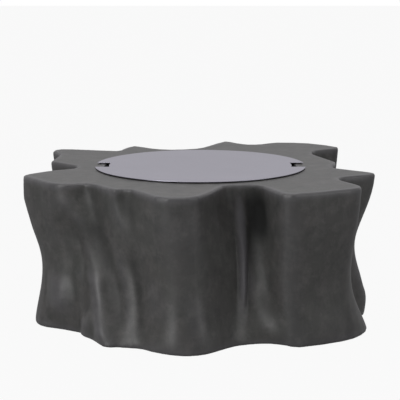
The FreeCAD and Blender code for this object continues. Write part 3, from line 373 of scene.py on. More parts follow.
@dataclass(frozen=True)
class PlainSteel(Finish):
    """Zinc plated steel: pale grey, a little cloudy, with drawn lines."""

    name: str = "zinc_plated_steel"
    colour: str = "#a3a6a8"
    shade: str = "#8f9294"
    metallic: float = 1.0
    roughness: float = 0.38
    patch_mm: float = 14.0
    grain_mm: float = 0.8
    grain_depth_mm: float = 0.01


@dataclass(frozen=True)
class Brass(Finish):
    """Machined brass: warm yellow, fine turning marks, slightly dulled by handling."""

    name: str = "machined_brass"
    colour: str = "#c9a25a"
    shade: str = "#a98442"
    metallic: float = 1.0
    roughness: float = 0.3
    patch_mm: float = 9.0
    grain_mm: float = 0.5
    grain_depth_mm: float = 0.01


@dataclass(frozen=True)
class Copper(Finish):
    """Drawn copper tube, browned by heat along its length."""

    name: str = "drawn_copper"
    colour: str = "#b87a58"
    shade: str = "#8a5138"
    metallic: float = 1.0
    roughness: float = 0.34
    patch_mm: float = 30.0
    grain_mm: float = 0.6
    grain_depth_mm: float = 0.01


@dataclass(frozen=True)
class DieCast(Finish):
    """Die-cast aluminium, tumbled: matt light grey with a fine even grit."""

    name: str = "die_cast_aluminium"
    colour: str = "#a6a8aa"
    shade: str = "#999b9d"
    metallic: float = 1.0
    roughness: float = 0.52
    patch_mm: float = 12.0
    grain_mm: float = 0.7
    grain_depth_mm: float = 0.04


@dataclass(frozen=True)
class SiliconeRubber(Finish):
    """Moulded silicone: black, soft looking, nearly without gloss."""

    name: str = "black_silicone_rubber"
    colour: str = "#1b1b1c"
    shade: str = "#242425"
    roughness: float = 0.7
    patch_mm: float = 8.0
    grain_mm: float = 0.6
    grain_depth_mm: float = 0.02


@dataclass(frozen=True)
class LeadSilicone(SiliconeRubber):
    """Red silicone sleeve of the spark lead, extruded: smooth with a waxy gloss."""

    name: str = "red_silicone_sleeve"
    colour: str = "#8e2a20"
    shade: str = "#7b241c"
    roughness: float = 0.45


@dataclass(frozen=True)
class MouldedPlastic(Finish):
    """Glass-filled nylon, moulded black: satin, with the fine spark-eroded texture of its mould."""

    name: str = "black_moulded_nylon"
    colour: str = "#1c1c1d"
    shade: str = "#262627"
    roughness: float = 0.46
    patch_mm: float = 10.0
    grain_mm: float = 0.5
    grain_depth_mm: float = 0.03


@dataclass(frozen=True)
class Chrome(Finish):
    """Bright chrome plate: a clean mirror with faint rubbing marks."""

    name: str = "bright_chrome_plate"
    colour: str = "#d6d7d9"
    shade: str = "#c9cacc"
    metallic: float = 1.0
    roughness: float = 0.14
    patch_mm: float = 6.0
    grain_mm: float = 0.8
    grain_depth_mm: float = 0.003


@dataclass(frozen=True)
class Ceramic(Finish):
    """Unglazed alumina of a spark plug: off-white, faintly stained by smoke."""

    name: str = "white_alumina"
    colour: str = "#e2dccf"
    shade: str = "#cfc6b4"
    roughness: float = 0.4
    patch_mm: float = 7.0
    grain_mm: float = 0.6
    grain_depth_mm: float = 0.01


@dataclass(frozen=True)
class PaintedPipe(Finish):
    """Black powder-coated steel pipe: even, slightly pebbled."""

    name: str = "black_powder_coat"
    colour: str = "#202123"
    shade: str = "#2a2b2d"
    roughness: float = 0.5
    patch_mm: float = 20.0
    grain_mm: float = 0.9
    grain_depth_mm: float = 0.04


@dataclass(frozen=True)
class ScreenInk(Finish):
    """Baked ink of the dial marks: flat and dark on the brushed plate."""

    name: str = "baked_dial_ink"
    colour: str = "#26272a"
    shade: str = "#2c2d30"
    roughness: float = 0.6
    patch_mm: float = 5.0
    grain_mm: float = 0.4
    grain_depth_mm: float = 0.005


@dataclass(frozen=True)
class PointerPaint(Finish):
    """White paint wiped into the pointer groove of the knob."""

    name: str = "white_pointer_paint"
    colour: str = "#e8e8e4"
    shade: str = "#dcdcd8"
    roughness: float = 0.55
    patch_mm: float = 3.0
    grain_mm: float = 0.4
    grain_depth_mm: float = 0.005


@dataclass(frozen=True)
class CorrugatedHose(Finish):
    """Stainless gas hose: its close corrugations show as a rough shimmer, drawn coarser to be seen."""

    name: str = "corrugated_stainless_hose"
    colour: str = "#a7a9ab"
    shade: str = "#95979a"
    metallic: float = 1.0
    roughness: float = 0.3
    patch_mm: float = 12.0
    grain_mm: float = 3.0
    grain_depth_mm: float = 0.4


@dataclass(frozen=True)
class LavaStone(Finish):
    """Broken lava: dull, full of gas pores, from charcoal to rust from stone to stone."""

    name: str = "porous_lava_stone"
    colour: str = "#2c2827"
    shade: str = "#3a302c"
    roughness: float = 0.85
    patch_mm: float = 14.0
    pore_mm: float = 3.2
    pore_depth_mm: float = 1.2
    dullness: tuple[float, float] = (0.78, 0.95)
    rust: str = "#5a3327"
    ash: str = "#46423f"

    def colours(self, tree: bpy.types.NodeTree) -> Any:
        """Tints each stone by its own tone, towards rust or towards ash.

        Args:
            tree: the material's node tree.

        Returns:
            The colour output.
        """
        base = Finish.colours(self, tree)
        tone = add_node(tree, "Attribute", {"attribute_name": "stone_tone"}).outputs["Fac"]
        rusty = self.tinted(tree, base, self.rust, tone, (0.5, 1.0), 0.8)
        return self.tinted(tree, rusty, self.ash, tone, (0.35, 0.0), 0.6)

    def relief(self, tree: bpy.types.NodeTree) -> tuple[Any, Any]:
        """Sinks pores of two sizes, with an even dull surface.

        Args:
            tree: the material's node tree.

        Returns:
            The normal and the roughness outputs.
        """
        place = self.position(tree, Grain.EVEN)
        wide = add_node(tree, "TexVoronoi", {"Scale": per_metre(self.pore_mm)}, {"Vector": place})
        look = {"Scale": per_metre(self.pore_mm / 3), "Detail": 4.0}
        fine = add_node(tree, "TexNoise", look, {"Vector": place})
        sources = {0: wide.outputs["Distance"], 1: fine.outputs[0]}
        height = add_node(tree, "Math", {"operation": "ADD"}, sources)
        bump = add_node(tree, "Bump", {"Distance": self.pore_depth_mm * MM}, {"Height": height.outputs[0]})
        low, high = self.dullness
        rough = add_node(tree, "MapRange", {3: low, 4: high}, {0: fine.outputs[0]})
        return bump.outputs[0], rough.outputs[0]


def dress(finish: Finish, *nodes: str) -> None:
    """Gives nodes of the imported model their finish.

    Args:
        finish: what they are made of.
        nodes: the nodes' names.
    """
    for node in nodes:
        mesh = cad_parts[node].data
        mesh.materials.clear()
        mesh.materials.append(finish.material())
        log.info("%s dressed in %s", node, finish.name)


def new_object(name: str, mesh: bpy.types.Mesh, finish: Finish) -> bpy.types.Object:
    """Puts a mesh into the scene with its finish.

    Args:
        name: the piece's name.
        mesh: its mesh, in metres.
        finish: what it is made of.

    Returns:
        The new piece.
    """
    piece = bpy.data.objects.new(name, mesh)
    bpy.context.scene.collection.objects.link(piece)
    mesh.materials.clear()
    mesh.materials.append(finish.material())
    return piece


def stand_for(piece: bpy.types.Object, slot: str, body: Body, *nodes: str) -> None:
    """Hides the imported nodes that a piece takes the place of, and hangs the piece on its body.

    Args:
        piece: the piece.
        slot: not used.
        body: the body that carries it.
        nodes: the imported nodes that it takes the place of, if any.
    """
    if nodes:
        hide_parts(*nodes)
    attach(piece, body.value)
    log.info("%s: %d faces", piece.name, len(piece.data.polygons))


def point_values(mesh: bpy.types.Mesh, name: str) -> np.ndarray:
    """Reads a property of a mesh's points.

    Args:
        mesh: the mesh.
        name: the property, such as its place or its normal.

    Returns:
        One row of x, y and z for each point.
    """
    flat = np.empty(len(mesh.vertices) * 3)
    mesh.vertices.foreach_get(name, flat)
    return flat.reshape(-1, 3)


def mark_points(mesh: bpy.types.Mesh, name: str, values: np.ndarray) -> None:
    """Stores one value for each point of a mesh, for its finish to read."""
    mesh.attributes.new(name, "FLOAT", "POINT").data.foreach_set("value", values)


@dataclass(frozen=True)
class Stroke:
    """One hand-worked mark on the flank: a ridge, a valley, a dent or a bulge.

    Its line is given as seen from its bearing, zero being the front and 90 the right, across and up
    in millimetres, and lies on the surface. It fades out towards both ends. Its tone paints light
    into the colour there: above zero a painted highlight, below zero painted shade, where the gloss
    is also dulled as by wax. A crease comes to a sharp line, and any other mark is round.
    """

    name: str
    line: tuple[tuple[float, float], ...]
    width: float
    lift: float
    ease_in: float = 0.35
    ease_out: float = 0.2
    tone: float = 0.0
    bearing: float = 0.0
    crease: bool = False

    def share(self, along: float) -> float:
        """Fades the mark in and out along its line.

        Args:
            along: the share of the way along the line.

        Returns:
            The mark's strength there, from none to one.
        """
        rise = min(1.0, along / self.ease_in)
        drop = min(1.0, (1 - along) / self.ease_out)
        return rise * rise * (3 - 2 * rise) * drop * drop * (3 - 2 * drop)


@dataclass
class StumpCasting:
    """The one-piece casting, with its folds softened and worked by hand."""

    voxel: float = 6.0
    rounds: int = 10
    flank_rounds: int = 60
    flow_rounds: int = 140
    finish_rounds: int = 6
    push_back: float = 0.508
    front_from: float = 150.0
    front_width: float = 560.0
    front_fade: float = 120.0
    step: float = 8.0
    ray_start: float = 2000.0
    deck_keep: float = 522.0
    edge_fade: float = 30.0
    upright_gain: float = 2.5
    controls_left: float = -250.0
    controls_right: float = 20.0
    controls_from: float = 380.0
    niche_floor: tuple[Point, Point] = ((-232.0, 436.0, 193.0), (-8.0, 462.0, 347.0))
    niche_share: float = 0.2
    niche_backing: tuple[tuple[Point, Point], ...] = (
        ((-118, 452, 180), (-8, 483, 205)),
        ((-64, 452, 335), (-8, 470, 356)),
    )
    rim_rounds: int = 40
    rim_bend: float = 0.35
    rim_spread: int = 3
    wear_and_shade_spread: int = 4
    wear_and_shade_gain: float = 2.5
    # Each stroke's tone paints light into the colour: a painted highlight above zero, painted shade below.
    strokes: tuple[Stroke, ...] = (
        Stroke(
            "upper_left_hollow", ((-500, 400), (-425, 385), (-350, 375)),
            width=96, lift=-18, ease_in=0.3, ease_out=0.3, tone=-0.15,
        ),
        Stroke(
            "left_hollow", ((-470, 318), (-405, 305), (-345, 300)),
            width=110, lift=-22, ease_in=0.3, ease_out=0.3,
        ),
        Stroke(
            "left_edge", ((235, 505), (232, 450), (245, 400), (252, 340), (262, 280)),
            width=110, lift=14, ease_in=0.25, ease_out=0.4, bearing=-90,
        ),
        Stroke(
            "right_rear_bulge", ((-196, 285), (-196, 230), (-192, 160), (-185, 90), (-180, 20)),
            width=90, lift=34, ease_in=0.55, ease_out=0.3, bearing=90,
        ),
        Stroke(
            "ridge_foot", ((-392, 75), (-400, 40), (-402, 4)),
            width=60, lift=13, ease_in=0.5, ease_out=0.1,
        ),
        # Painted highlight on the bulge of the left lobe.
        Stroke(
            "left_lobe", ((-506, 225), (-498, 140), (-497, 60)),
            width=80, lift=25, ease_in=0.5, ease_out=0.4, tone=0.32,
        ),
        Stroke(
            "left_ridge", ((-405, 330), (-391, 285), (-376, 245), (-361, 190), (-354, 135), (-347, 20)),
            width=46, lift=8, ease_in=0.55, ease_out=0.1, tone=0.15,
        ),
        # Painted shade with dulled gloss: no lift, only darkening.
        Stroke(
            "left_ridge_wax_and_shade", ((-425, 370), (-402, 310), (-386, 255)),
            width=42, lift=0, ease_in=0.3, ease_out=0.4, tone=-0.35,
        ),
        Stroke(
            "left_crease", ((-470, 440), (-446, 350), (-416, 260), (-404, 190), (-398, 100), (-396, 30)),
            width=34, lift=-4, ease_in=0.4, tone=-0.12, crease=True,
        ),
        Stroke(
            "middle_ridge",
            ((-332, 395), (-304, 340), (-281, 292), (-254, 208), (-243, 151), (-243, 90), (-243, 17)),
            width=44, lift=8, ease_in=0.5, tone=0.1,
        ),
        # Painted shade with dulled gloss between the ridges: no lift, only darkening.
        Stroke(
            "middle_wax_and_shade", ((-385, 440), (-360, 340), (-332, 250), (-311, 190), (-301, 120), (-295, 10)),
            width=54, lift=0, ease_in=0.2, ease_out=0.05, tone=-0.42,
        ),
        # Painted shade with dulled gloss: no lift, only darkening.
        Stroke(
            "right_wax_and_shade", ((-258, 400), (-232, 300), (-212, 222), (-205, 130), (-205, 30)),
            width=34, lift=0, ease_in=0.4, tone=-0.45,
        ),
        Stroke(
            "first_dent", ((-395, 520), (-375, 470), (-350, 400)),
            width=40, lift=-2, ease_in=0.2, ease_out=0.6, tone=-0.3,
        ),
        Stroke(
            "second_dent", ((-262, 520), (-255, 465), (-243, 380)),
            width=42, lift=-5, ease_in=0.15, ease_out=0.65, tone=-0.5,
        ),
        Stroke(
            "front_lobe_foot", ((-162, 260), (-152, 165), (-150, 80)),
            width=70, lift=4, ease_in=0.5, ease_out=0.5, tone=0.12,
        ),
        Stroke(
            "front_lobe_edge", ((-30, 220), (-12, 120), (0, 50)),
            width=60, lift=5, ease_in=0.5, ease_out=0.3, tone=0.1,
        ),
        Stroke(
            "dark_valley", ((55, 510), (75, 430), (95, 330)),
            width=46, lift=-4, ease_in=0.3, ease_out=0.6, tone=-0.1,
        ),
        # Painted highlight along the sharp ridge.
        Stroke(
            "sharp_ridge", ((134, 530), (140, 454), (144, 365), (146, 274), (146, 183), (146, 60)),
            width=29, lift=11, ease_in=0.25, ease_out=0.3, tone=0.8,
        ),
        # Painted shadow: the pocket under the deck's lip darkened nearly to black.
        Stroke(
            "dark_pocket", ((186, 520), (186, 443), (190, 385), (200, 305)),
            width=66, lift=-25, ease_out=0.5, tone=-0.95,
        ),
        Stroke(
            "pocket_side", ((216, 510), (220, 443), (224, 391), (230, 310)),
            width=72, lift=-4, ease_in=0.3, ease_out=0.5, tone=-0.55,
        ),
        # Painted shade with dulled gloss: no lift, only darkening.
        Stroke(
            "pocket_wax_and_shade", ((192, 340), (203, 275), (212, 210), (226, 120), (240, 70)),
            width=34, lift=0, ease_in=0.3, ease_out=0.35, tone=-0.45,
        ),
        Stroke(
            "pocket_bulge", ((190, 290), (193, 210), (200, 120)),
            width=66, lift=10, ease_in=0.45, ease_out=0.45, tone=0.25,
        ),
        Stroke(
            "foot_bulge", ((212, 190), (222, 100), (232, 20)),
            width=84, lift=10, ease_in=0.4, ease_out=0.3, tone=-0.05,
        ),
    )

    def base(self) -> bpy.types.Object:
        """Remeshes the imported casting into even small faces, with the ledges of its niche closed.

        Returns:
            The new piece.
        """
        shape = bmesh.new()
        shape.from_mesh(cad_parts["table_shell"].data)
        for low, high in self.niche_backing:
            lump = bmesh.ops.create_cube(shape, size=1.0)["verts"]
            size = Vector(high) - Vector(low)
            middle = (Vector(high) + Vector(low)) / 2
            bmesh.ops.scale(shape, vec=size * MM, verts=lump)
            bmesh.ops.translate(shape, vec=middle * MM, verts=lump)
        rough = bpy.data.meshes.new("stump_casting")
        shape.to_mesh(rough)
        shape.free()
        piece = new_object("stump_casting", rough, CastConcrete())
        even = piece.modifiers.new("even_faces", "REMESH")
        even.mode = "VOXEL"
        even.voxel_size = self.voxel * MM
        mesh = bpy.data.meshes.new_from_object(piece.evaluated_get(bpy.context.evaluated_depsgraph_get()))
        piece.modifiers.clear()
        piece.data = mesh
        mesh.materials.clear()
        mesh.materials.append(CastConcrete().material())
        return piece

    def pull(self, points: np.ndarray, edges: np.ndarray) -> np.ndarray:
        """Measures how far each point is from the mean of its neighbours.

        Args:
            points: the surface's points, or any three values at each.
            edges: pairs of point numbers.

        Returns:
            The way from each point to that mean.
        """
        count = len(points)
        total = np.zeros_like(points)
        for axis in range(3):
            total[:, axis] = np.bincount(edges[:, 0], points[edges[:, 1], axis], count)
            total[:, axis] += np.bincount(edges[:, 1], points[edges[:, 0], axis], count)
        number = np.bincount(edges.ravel(), minlength=count)
        return total / number[:, None] - points

    def soften(
        self, points: np.ndarray, edges: np.ndarray, rounds: int, share: np.ndarray, push_back: float
    ) -> np.ndarray:
        """Smooths the surface without shrinking it: each round pulls in and then pushes out.

        Args:
            points: the surface's points.
            edges: pairs of point numbers.
            rounds: how often it is smoothed.
            share: how freely each point moves, from none to fully.
            push_back: how far each round pushes out again.

        Returns:
            The smoothed points.
        """
        part = np.zeros(len(points), dtype=bool)
        part[share[:, 0] > 0] = True
        rim = part[edges].any(axis=1)
        part[edges[rim].ravel()] = True
        number = np.cumsum(part) - 1
        links = number[edges[part[edges].all(axis=1)]]
        freely = share[part]
        moved = points[part]
        for _ in range(rounds):
            moved = moved + 0.5 * freely * self.pull(moved, links)
            if push_back:
                moved = moved - push_back * freely * self.pull(moved, links)
        smooth = points.copy()
        smooth[part] = moved
        return smooth

    def flow(self, points: np.ndarray, edges: np.ndarray, share: np.ndarray) -> np.ndarray:
        """Melts the small folds of the front into broad ones, which keep their height.

        Args:
            points: the surface's points.
            edges: pairs of point numbers.
            share: how freely each point moves.

        Returns:
            The melted points.
        """
        once = self.soften(points, edges, self.flow_rounds, share, 0.0)
        twice = self.soften(once, edges, self.flow_rounds, share, 0.0)
        return 2 * once - twice

    def front_share(self, points: np.ndarray) -> np.ndarray:
        """Measures how much each point belongs to the front flank.

        Args:
            points: the surface's points.

        Returns:
            A share for each point.
        """
        far = np.clip((-self.front_from * MM - points[:, 1]) / (self.front_fade * MM), 0, 1)
        wide = np.clip((self.front_width * MM - np.abs(points[:, 0])) / (self.front_fade * MM), 0, 1)
        return (far * wide)[:, None]

    def near_controls(self, points: np.ndarray) -> np.ndarray:
        """Returns which points lie round the niche and the arch."""
        across = (points[:, 0] > self.controls_left * MM) & (points[:, 0] < self.controls_right * MM)
        return across & (points[:, 1] > self.controls_from * MM)

    def upright_share(self, normals: np.ndarray) -> np.ndarray:
        """Returns how upright the surface is at each point, from level to fully."""
        return np.clip(self.upright_gain * (1 - np.abs(normals[:, 2:])), 0, 1)

    def flank_share(self, points: np.ndarray, normals: np.ndarray) -> np.ndarray:
        """Measures how freely each point may be worked: fully on open flanks, not at edges and niches.

        Args:
            points: the surface's points.
            normals: the way outwards at each.

        Returns:
            A share for each point.
        """
        deck = np.clip((self.deck_keep * MM - points[:, 2]) / (self.edge_fade * MM), 0, 1)
        foot = np.clip(points[:, 2] / (self.edge_fade * MM), 0, 1)
        upright = self.upright_share(normals)[:, 0]
        return (deck * foot * upright * ~self.near_controls(points))[:, None]

    def rim_share(self, points: np.ndarray, edges: np.ndarray) -> np.ndarray:
        """Measures how much each point belongs to the sharp rims of the niche and the arch.

        Args:
            points: the surface's points.
            edges: pairs of point numbers.

        Returns:
            A share for each point.
        """
        bend = np.linalg.norm(self.pull(points, edges), axis=1) / (self.rim_bend * MM)
        sharp = np.clip(bend, 0, 1) * self.near_controls(points)
        share = np.repeat(sharp[:, None], 3, axis=1)
        for _ in range(self.rim_spread):
            share = share + self.pull(share, edges)
        return np.clip(2 * share[:, :1], 0, 1)

    def eased(self, raw: np.ndarray, edges: np.ndarray) -> np.ndarray:
        """Smooths the steps out of the surface and rounds the rims of its openings.

        Args:
            raw: the surface's points.
            edges: pairs of point numbers.

        Returns:
            The eased points.
        """
        low, high = np.array(self.niche_floor) * MM
        in_niche = ((raw > low) & (raw < high)).all(axis=1)
        whole = np.where(in_niche, self.niche_share, 1.0)[:, None]
        points = self.soften(raw, edges, self.rounds, whole, self.push_back)
        rim = self.rim_share(points, edges) * ~in_niche[:, None]
        return self.soften(points, edges, self.rim_rounds, rim, self.push_back)

    def crest_wear_and_hollow_shade(self, points: np.ndarray, edges: np.ndarray, normals: np.ndarray) -> np.ndarray:
        """Finds the crests that hands rub, and the hollows, which are given painted shade.

        Args:
            points: the surface's points.
            edges: pairs of point numbers.
            normals: the way outwards at each point.

        Returns:
            The value at each point: half on level parts, more on crests, which are worn paler, and less in
                hollows, which get painted shade.
        """
        bend = -np.einsum("ij,ij->i", self.pull(points, edges), normals) / MM
        for _ in range(self.wear_and_shade_spread):
            bend = bend + self.pull(np.repeat(bend[:, None], 3, axis=1), edges)[:, 0]
        return np.clip(0.5 + bend * self.wear_and_shade_gain, 0, 1)

    def trace(self, stroke: Stroke, tree: BVHTree) -> list[tuple[Vector, Vector, float]]:
        """Lays a stroke's line on the flank.

        Args:
            stroke: the mark to lay.
            tree: the surface to lay it on.

        Returns:
            Points on the surface, each with its way outwards and its share of the stroke's strength.
        """
        view = Matrix.Rotation(math.radians(stroke.bearing), 3, "Z")
        runs = [math.dist(a, b) for a, b in zip(stroke.line, stroke.line[1:])]
        whole = sum(runs)
        traced = []
        passed = 0.0
        for (start, end), run in zip(zip(stroke.line, stroke.line[1:]), runs):
            steps = max(2, round(run / self.step))
            for i in range(steps):
                share = i / steps
                x = start[0] + (end[0] - start[0]) * share
                z = start[1] + (end[1] - start[1]) * share
                start_of_ray = view @ Vector((x, -self.ray_start, z)) * MM
                hit, normal, _, _ = tree.ray_cast(start_of_ray, view @ Vector((0, 1, 0)))
                along = (passed + run * share) / whole
                if hit is not None:
                    outward = Vector((normal.x, normal.y, 0)).normalized()
                    traced.append((hit, outward, stroke.share(along)))
            passed += run
        return traced

    def work(self, points: np.ndarray, free: np.ndarray, tree: BVHTree) -> tuple[np.ndarray, np.ndarray]:
        """Presses the strokes into the outside of the flanks.

        Args:
            points: the surface's points.
            free: how freely each point may be pressed.
            tree: the surface to lay the strokes on.

        Returns:
            The moved points and the light painted at each point: highlight above zero, shade below.
        """
        moved = points.copy()
        painted_highlight_and_shade = np.zeros(len(points))
        for stroke in self.strokes:
            traced = self.trace(stroke, tree)
            reach = stroke.width * MM
            spots = np.array([centre for centre, _, _ in traced])
            inside = ((points > spots.min(axis=0) - reach) & (points < spots.max(axis=0) + reach)).all(axis=1)
            near_by = points[inside]
            strength = np.zeros(len(near_by))
            way = np.zeros((len(near_by), 3))
            for centre, outward, share in traced:
                near = np.clip(np.linalg.norm(near_by - np.array(centre), axis=1) / reach, 0, 1)
                fall = share * ((1 - near) ** 2 if stroke.crease else (1 - near**2) ** 2)
                way += np.array(outward) * fall[:, None]
                strength = np.maximum(strength, fall)
            length = np.linalg.norm(way, axis=1)
            way /= np.maximum(length, 1e-9)[:, None]
            moved[inside] += way * (strength * free[inside, 0] * stroke.lift * MM)[:, None]
            # Painted highlights and shade: each stroke's tone, stored for the colour.
            painted_highlight_and_shade[inside] += strength * stroke.tone
        return moved, np.clip(painted_highlight_and_shade, -1, 1)

    def build(self) -> None:
        """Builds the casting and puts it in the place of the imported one."""
        piece = self.base()
        mesh = piece.data
        ends = np.empty(len(mesh.edges) * 2, dtype=np.int64)
        mesh.edges.foreach_get("vertices", ends)
        edges = ends.reshape(-1, 2)
        points = self.eased(point_values(mesh, "co"), edges)
        mesh.vertices.foreach_set("co", points.ravel())
        mesh.update()
        normals = point_values(mesh, "normal")
        free = self.flank_share(points, normals)
        points = self.soften(points, edges, self.flank_rounds, free, self.push_back)
        points = self.flow(points, edges, free * self.front_share(points))
        tree = BVHTree.FromPolygons([tuple(p) for p in points], [tuple(f.vertices) for f in mesh.polygons])
        points, painted_highlight_and_shade = self.work(points, self.upright_share(normals), tree)
        points = self.soften(points, edges, self.finish_rounds, free, self.push_back)
        low, high = CAD_BOUNDS
        points = np.clip(points, np.array(low), np.array(high))
        mesh.vertices.foreach_set("co", points.ravel())
        mesh.polygons.foreach_set("use_smooth", np.ones(len(mesh.polygons), dtype=bool))
        mesh.update()
        # Stores the crests' wear with the hollows' painted shade, and the strokes' painted highlights and
        # shade.
        mark_points(mesh, "wear_and_hollow_shade", self.crest_wear_and_hollow_shade(points, edges, point_values(mesh, "normal")))
        mark_points(mesh, "painted_highlight_and_shade", painted_highlight_and_shade)
        stand_for(piece, "cast_stone", Body.TABLE, "table_shell")


def corners(node: str) -> tuple[Vector, Vector]:
    """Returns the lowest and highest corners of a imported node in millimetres."""
    low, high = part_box(node)
    return Vector(low) / MM, Vector(high) / MM


def finished(name: str, shape: bmesh.types.BMesh, finish: Finish, sharp: float = 35.0) -> bpy.types.Object:
    """Turns a shape drawn in millimetres into a smooth shaded piece.

    Args:
        name: the piece's name.
        shape: the shape, freed afterwards.
        finish: what it is made of.
        sharp: edges that turn by more than this many degrees stay crisp.

    Returns:
        The new piece.
    """
    bmesh.ops.recalc_face_normals(shape, faces=shape.faces)
    shape.transform(Matrix.Scale(MM, 4))
    mesh = bpy.data.meshes.new(name)
    shape.to_mesh(mesh)
    shape.free()
    mesh.shade_smooth()
    mesh.set_sharp_from_angle(angle=math.radians(sharp))
    return new_object(name, mesh, finish)


def turn(shape: bmesh.types.BMesh, profile: Sequence[tuple[float, float]], sides: int, place: Matrix) -> list:
    """Adds a turned form about the local z axis.

    Args:
        shape: where the form is added.
        profile: radius and height pairs from the lower end to the upper; a radius of zero closes it.
        sides: how many sides the form has.
        place: where it stands.

    Returns:
        Its rings of vertices, a pole as a ring of one.
    """
    rings = []
    for radius, height in profile:
        if radius == 0:
            rings.append([shape.verts.new(place @ Vector((0, 0, height)))])
            continue
        ring = []
        for i in range(sides):
            angle = 2 * math.pi * i / sides
            spot = Vector((radius * math.cos(angle), radius * math.sin(angle), height))
            ring.append(shape.verts.new(place @ spot))
        rings.append(ring)
    for low, high in zip(rings, rings[1:]):
        for i in range(sides):
            j = (i + 1) % sides
            around = [low[i % len(low)], low[j % len(low)], high[j % len(high)], high[i % len(high)]]
            distinct = list(dict.fromkeys(around))
            if len(distinct) > 2:
                shape.faces.new(distinct)
    return rings


def block(shape: bmesh.types.BMesh, low: Point, high: Point, ease: float, place: Matrix) -> None:
    """Adds a block with eased edges.

    Args:
        shape: where the block is added.
        low: its lowest corner.
        high: its highest corner.
        ease: how far its edges are eased.
        place: where it stands.
    """
    middle = (Vector(low) + Vector(high)) / 2
    size = Vector(high) - Vector(low)
    box = Matrix.Translation(middle) @ Matrix.Diagonal((*size, 1))
    made = bmesh.ops.create_cube(shape, size=1.0, matrix=box)
    edges = list({edge for vert in made["verts"] for edge in vert.link_edges})
    eased = bmesh.ops.bevel(shape, geom=edges, offset=ease, segments=3, profile=0.5, affect="EDGES")
    verts = {vert for face in eased["faces"] for vert in face.verts}
    verts |= {vert for vert in made["verts"] if vert.is_valid}
    bmesh.ops.transform(shape, matrix=place, verts=list(verts))


def facing_rear(x: float, y: float, z: float) -> Matrix:
    """Returns the place whose local z axis points to the rear and whose local y axis points down."""
    return Matrix.Translation((x, y, z)) @ Matrix.Rotation(-math.pi / 2, 4, "X")


@dataclass
class SteelLid:
    """The round lid: a brushed disc with two hand notches, on silicone pads and centring tabs."""

    radius: float = 400.0
    notch_width: float = 105.0
    notch_depth: float = 53.0
    corner: float = 2.5
    rim: float = 1.1
    corner_bend: float = 40.0
    crisp: float = 50.0
    flat_area: float = 0.01
    arc_steps: int = 180
    end_steps: int = 12

    def outline(self) -> list[tuple[float, float]]:
        """Draws the disc with its two notches.

        Returns:
            The points of its outline, anticlockwise.
        """
        half = self.notch_width / 2
        inner = self.radius - self.notch_depth
        open_angle = math.asin(half / self.radius)
        end_angle = math.asin(half / inner)
        points = []
        for start in (0.0, math.pi):
            for i in range(self.arc_steps + 1):
                angle = start + open_angle + (math.pi - 2 * open_angle) * i / self.arc_steps
                points.append((self.radius * math.cos(angle), self.radius * math.sin(angle)))
            for i in range(self.end_steps + 1):
                angle = start + math.pi - end_angle + 2 * end_angle * i / self.end_steps
                points.append((inner * math.cos(angle), inner * math.sin(angle)))
        return points

    def plate(self) -> None:
        """Cuts the disc, rounds the notches' corners and eases the rim."""
        low, high = corners("lid_plate")
        shape = bmesh.new()
        face = shape.faces.new([shape.verts.new((x, y, low.z)) for x, y in self.outline()])
        grown = bmesh.ops.extrude_face_region(shape, geom=[face])
        lifted = [item for item in grown["geom"] if isinstance(item, bmesh.types.BMVert)]
        bmesh.ops.translate(shape, vec=(0, 0, high.z - low.z), verts=lifted)
        bmesh.ops.recalc_face_normals(shape, faces=shape.faces)
        upright = [e for e in shape.edges if abs(e.verts[0].co.z - e.verts[1].co.z) > 1]
        corners_only = [e for e in upright if e.calc_face_angle(0) > math.radians(self.corner_bend)]
        rounded = {"profile": 0.5, "affect": "EDGES"}
        bmesh.ops.bevel(shape, geom=corners_only, offset=self.corner, segments=4, **rounded)
        rim = [e for e in shape.edges if abs(e.verts[0].co.z - e.verts[1].co.z) < 0.1]
        bmesh.ops.bevel(shape, geom=rim, offset=self.rim, segments=3, **rounded)
        piece = finished("steel_lid", shape, BrushedStainless(), self.crisp)
        for face in piece.data.polygons:
            if face.area > self.flat_area:
                face.use_smooth = False
        stand_for(piece, "lid_steel", Body.LID, "lid_plate")

    def build(self) -> None:
        """Builds the lid and dresses what is under it."""
        self.plate()
        dress(SiliconeRubber(), "lid_pads")
        dress(BrushedStainless(), "lid_tabs")


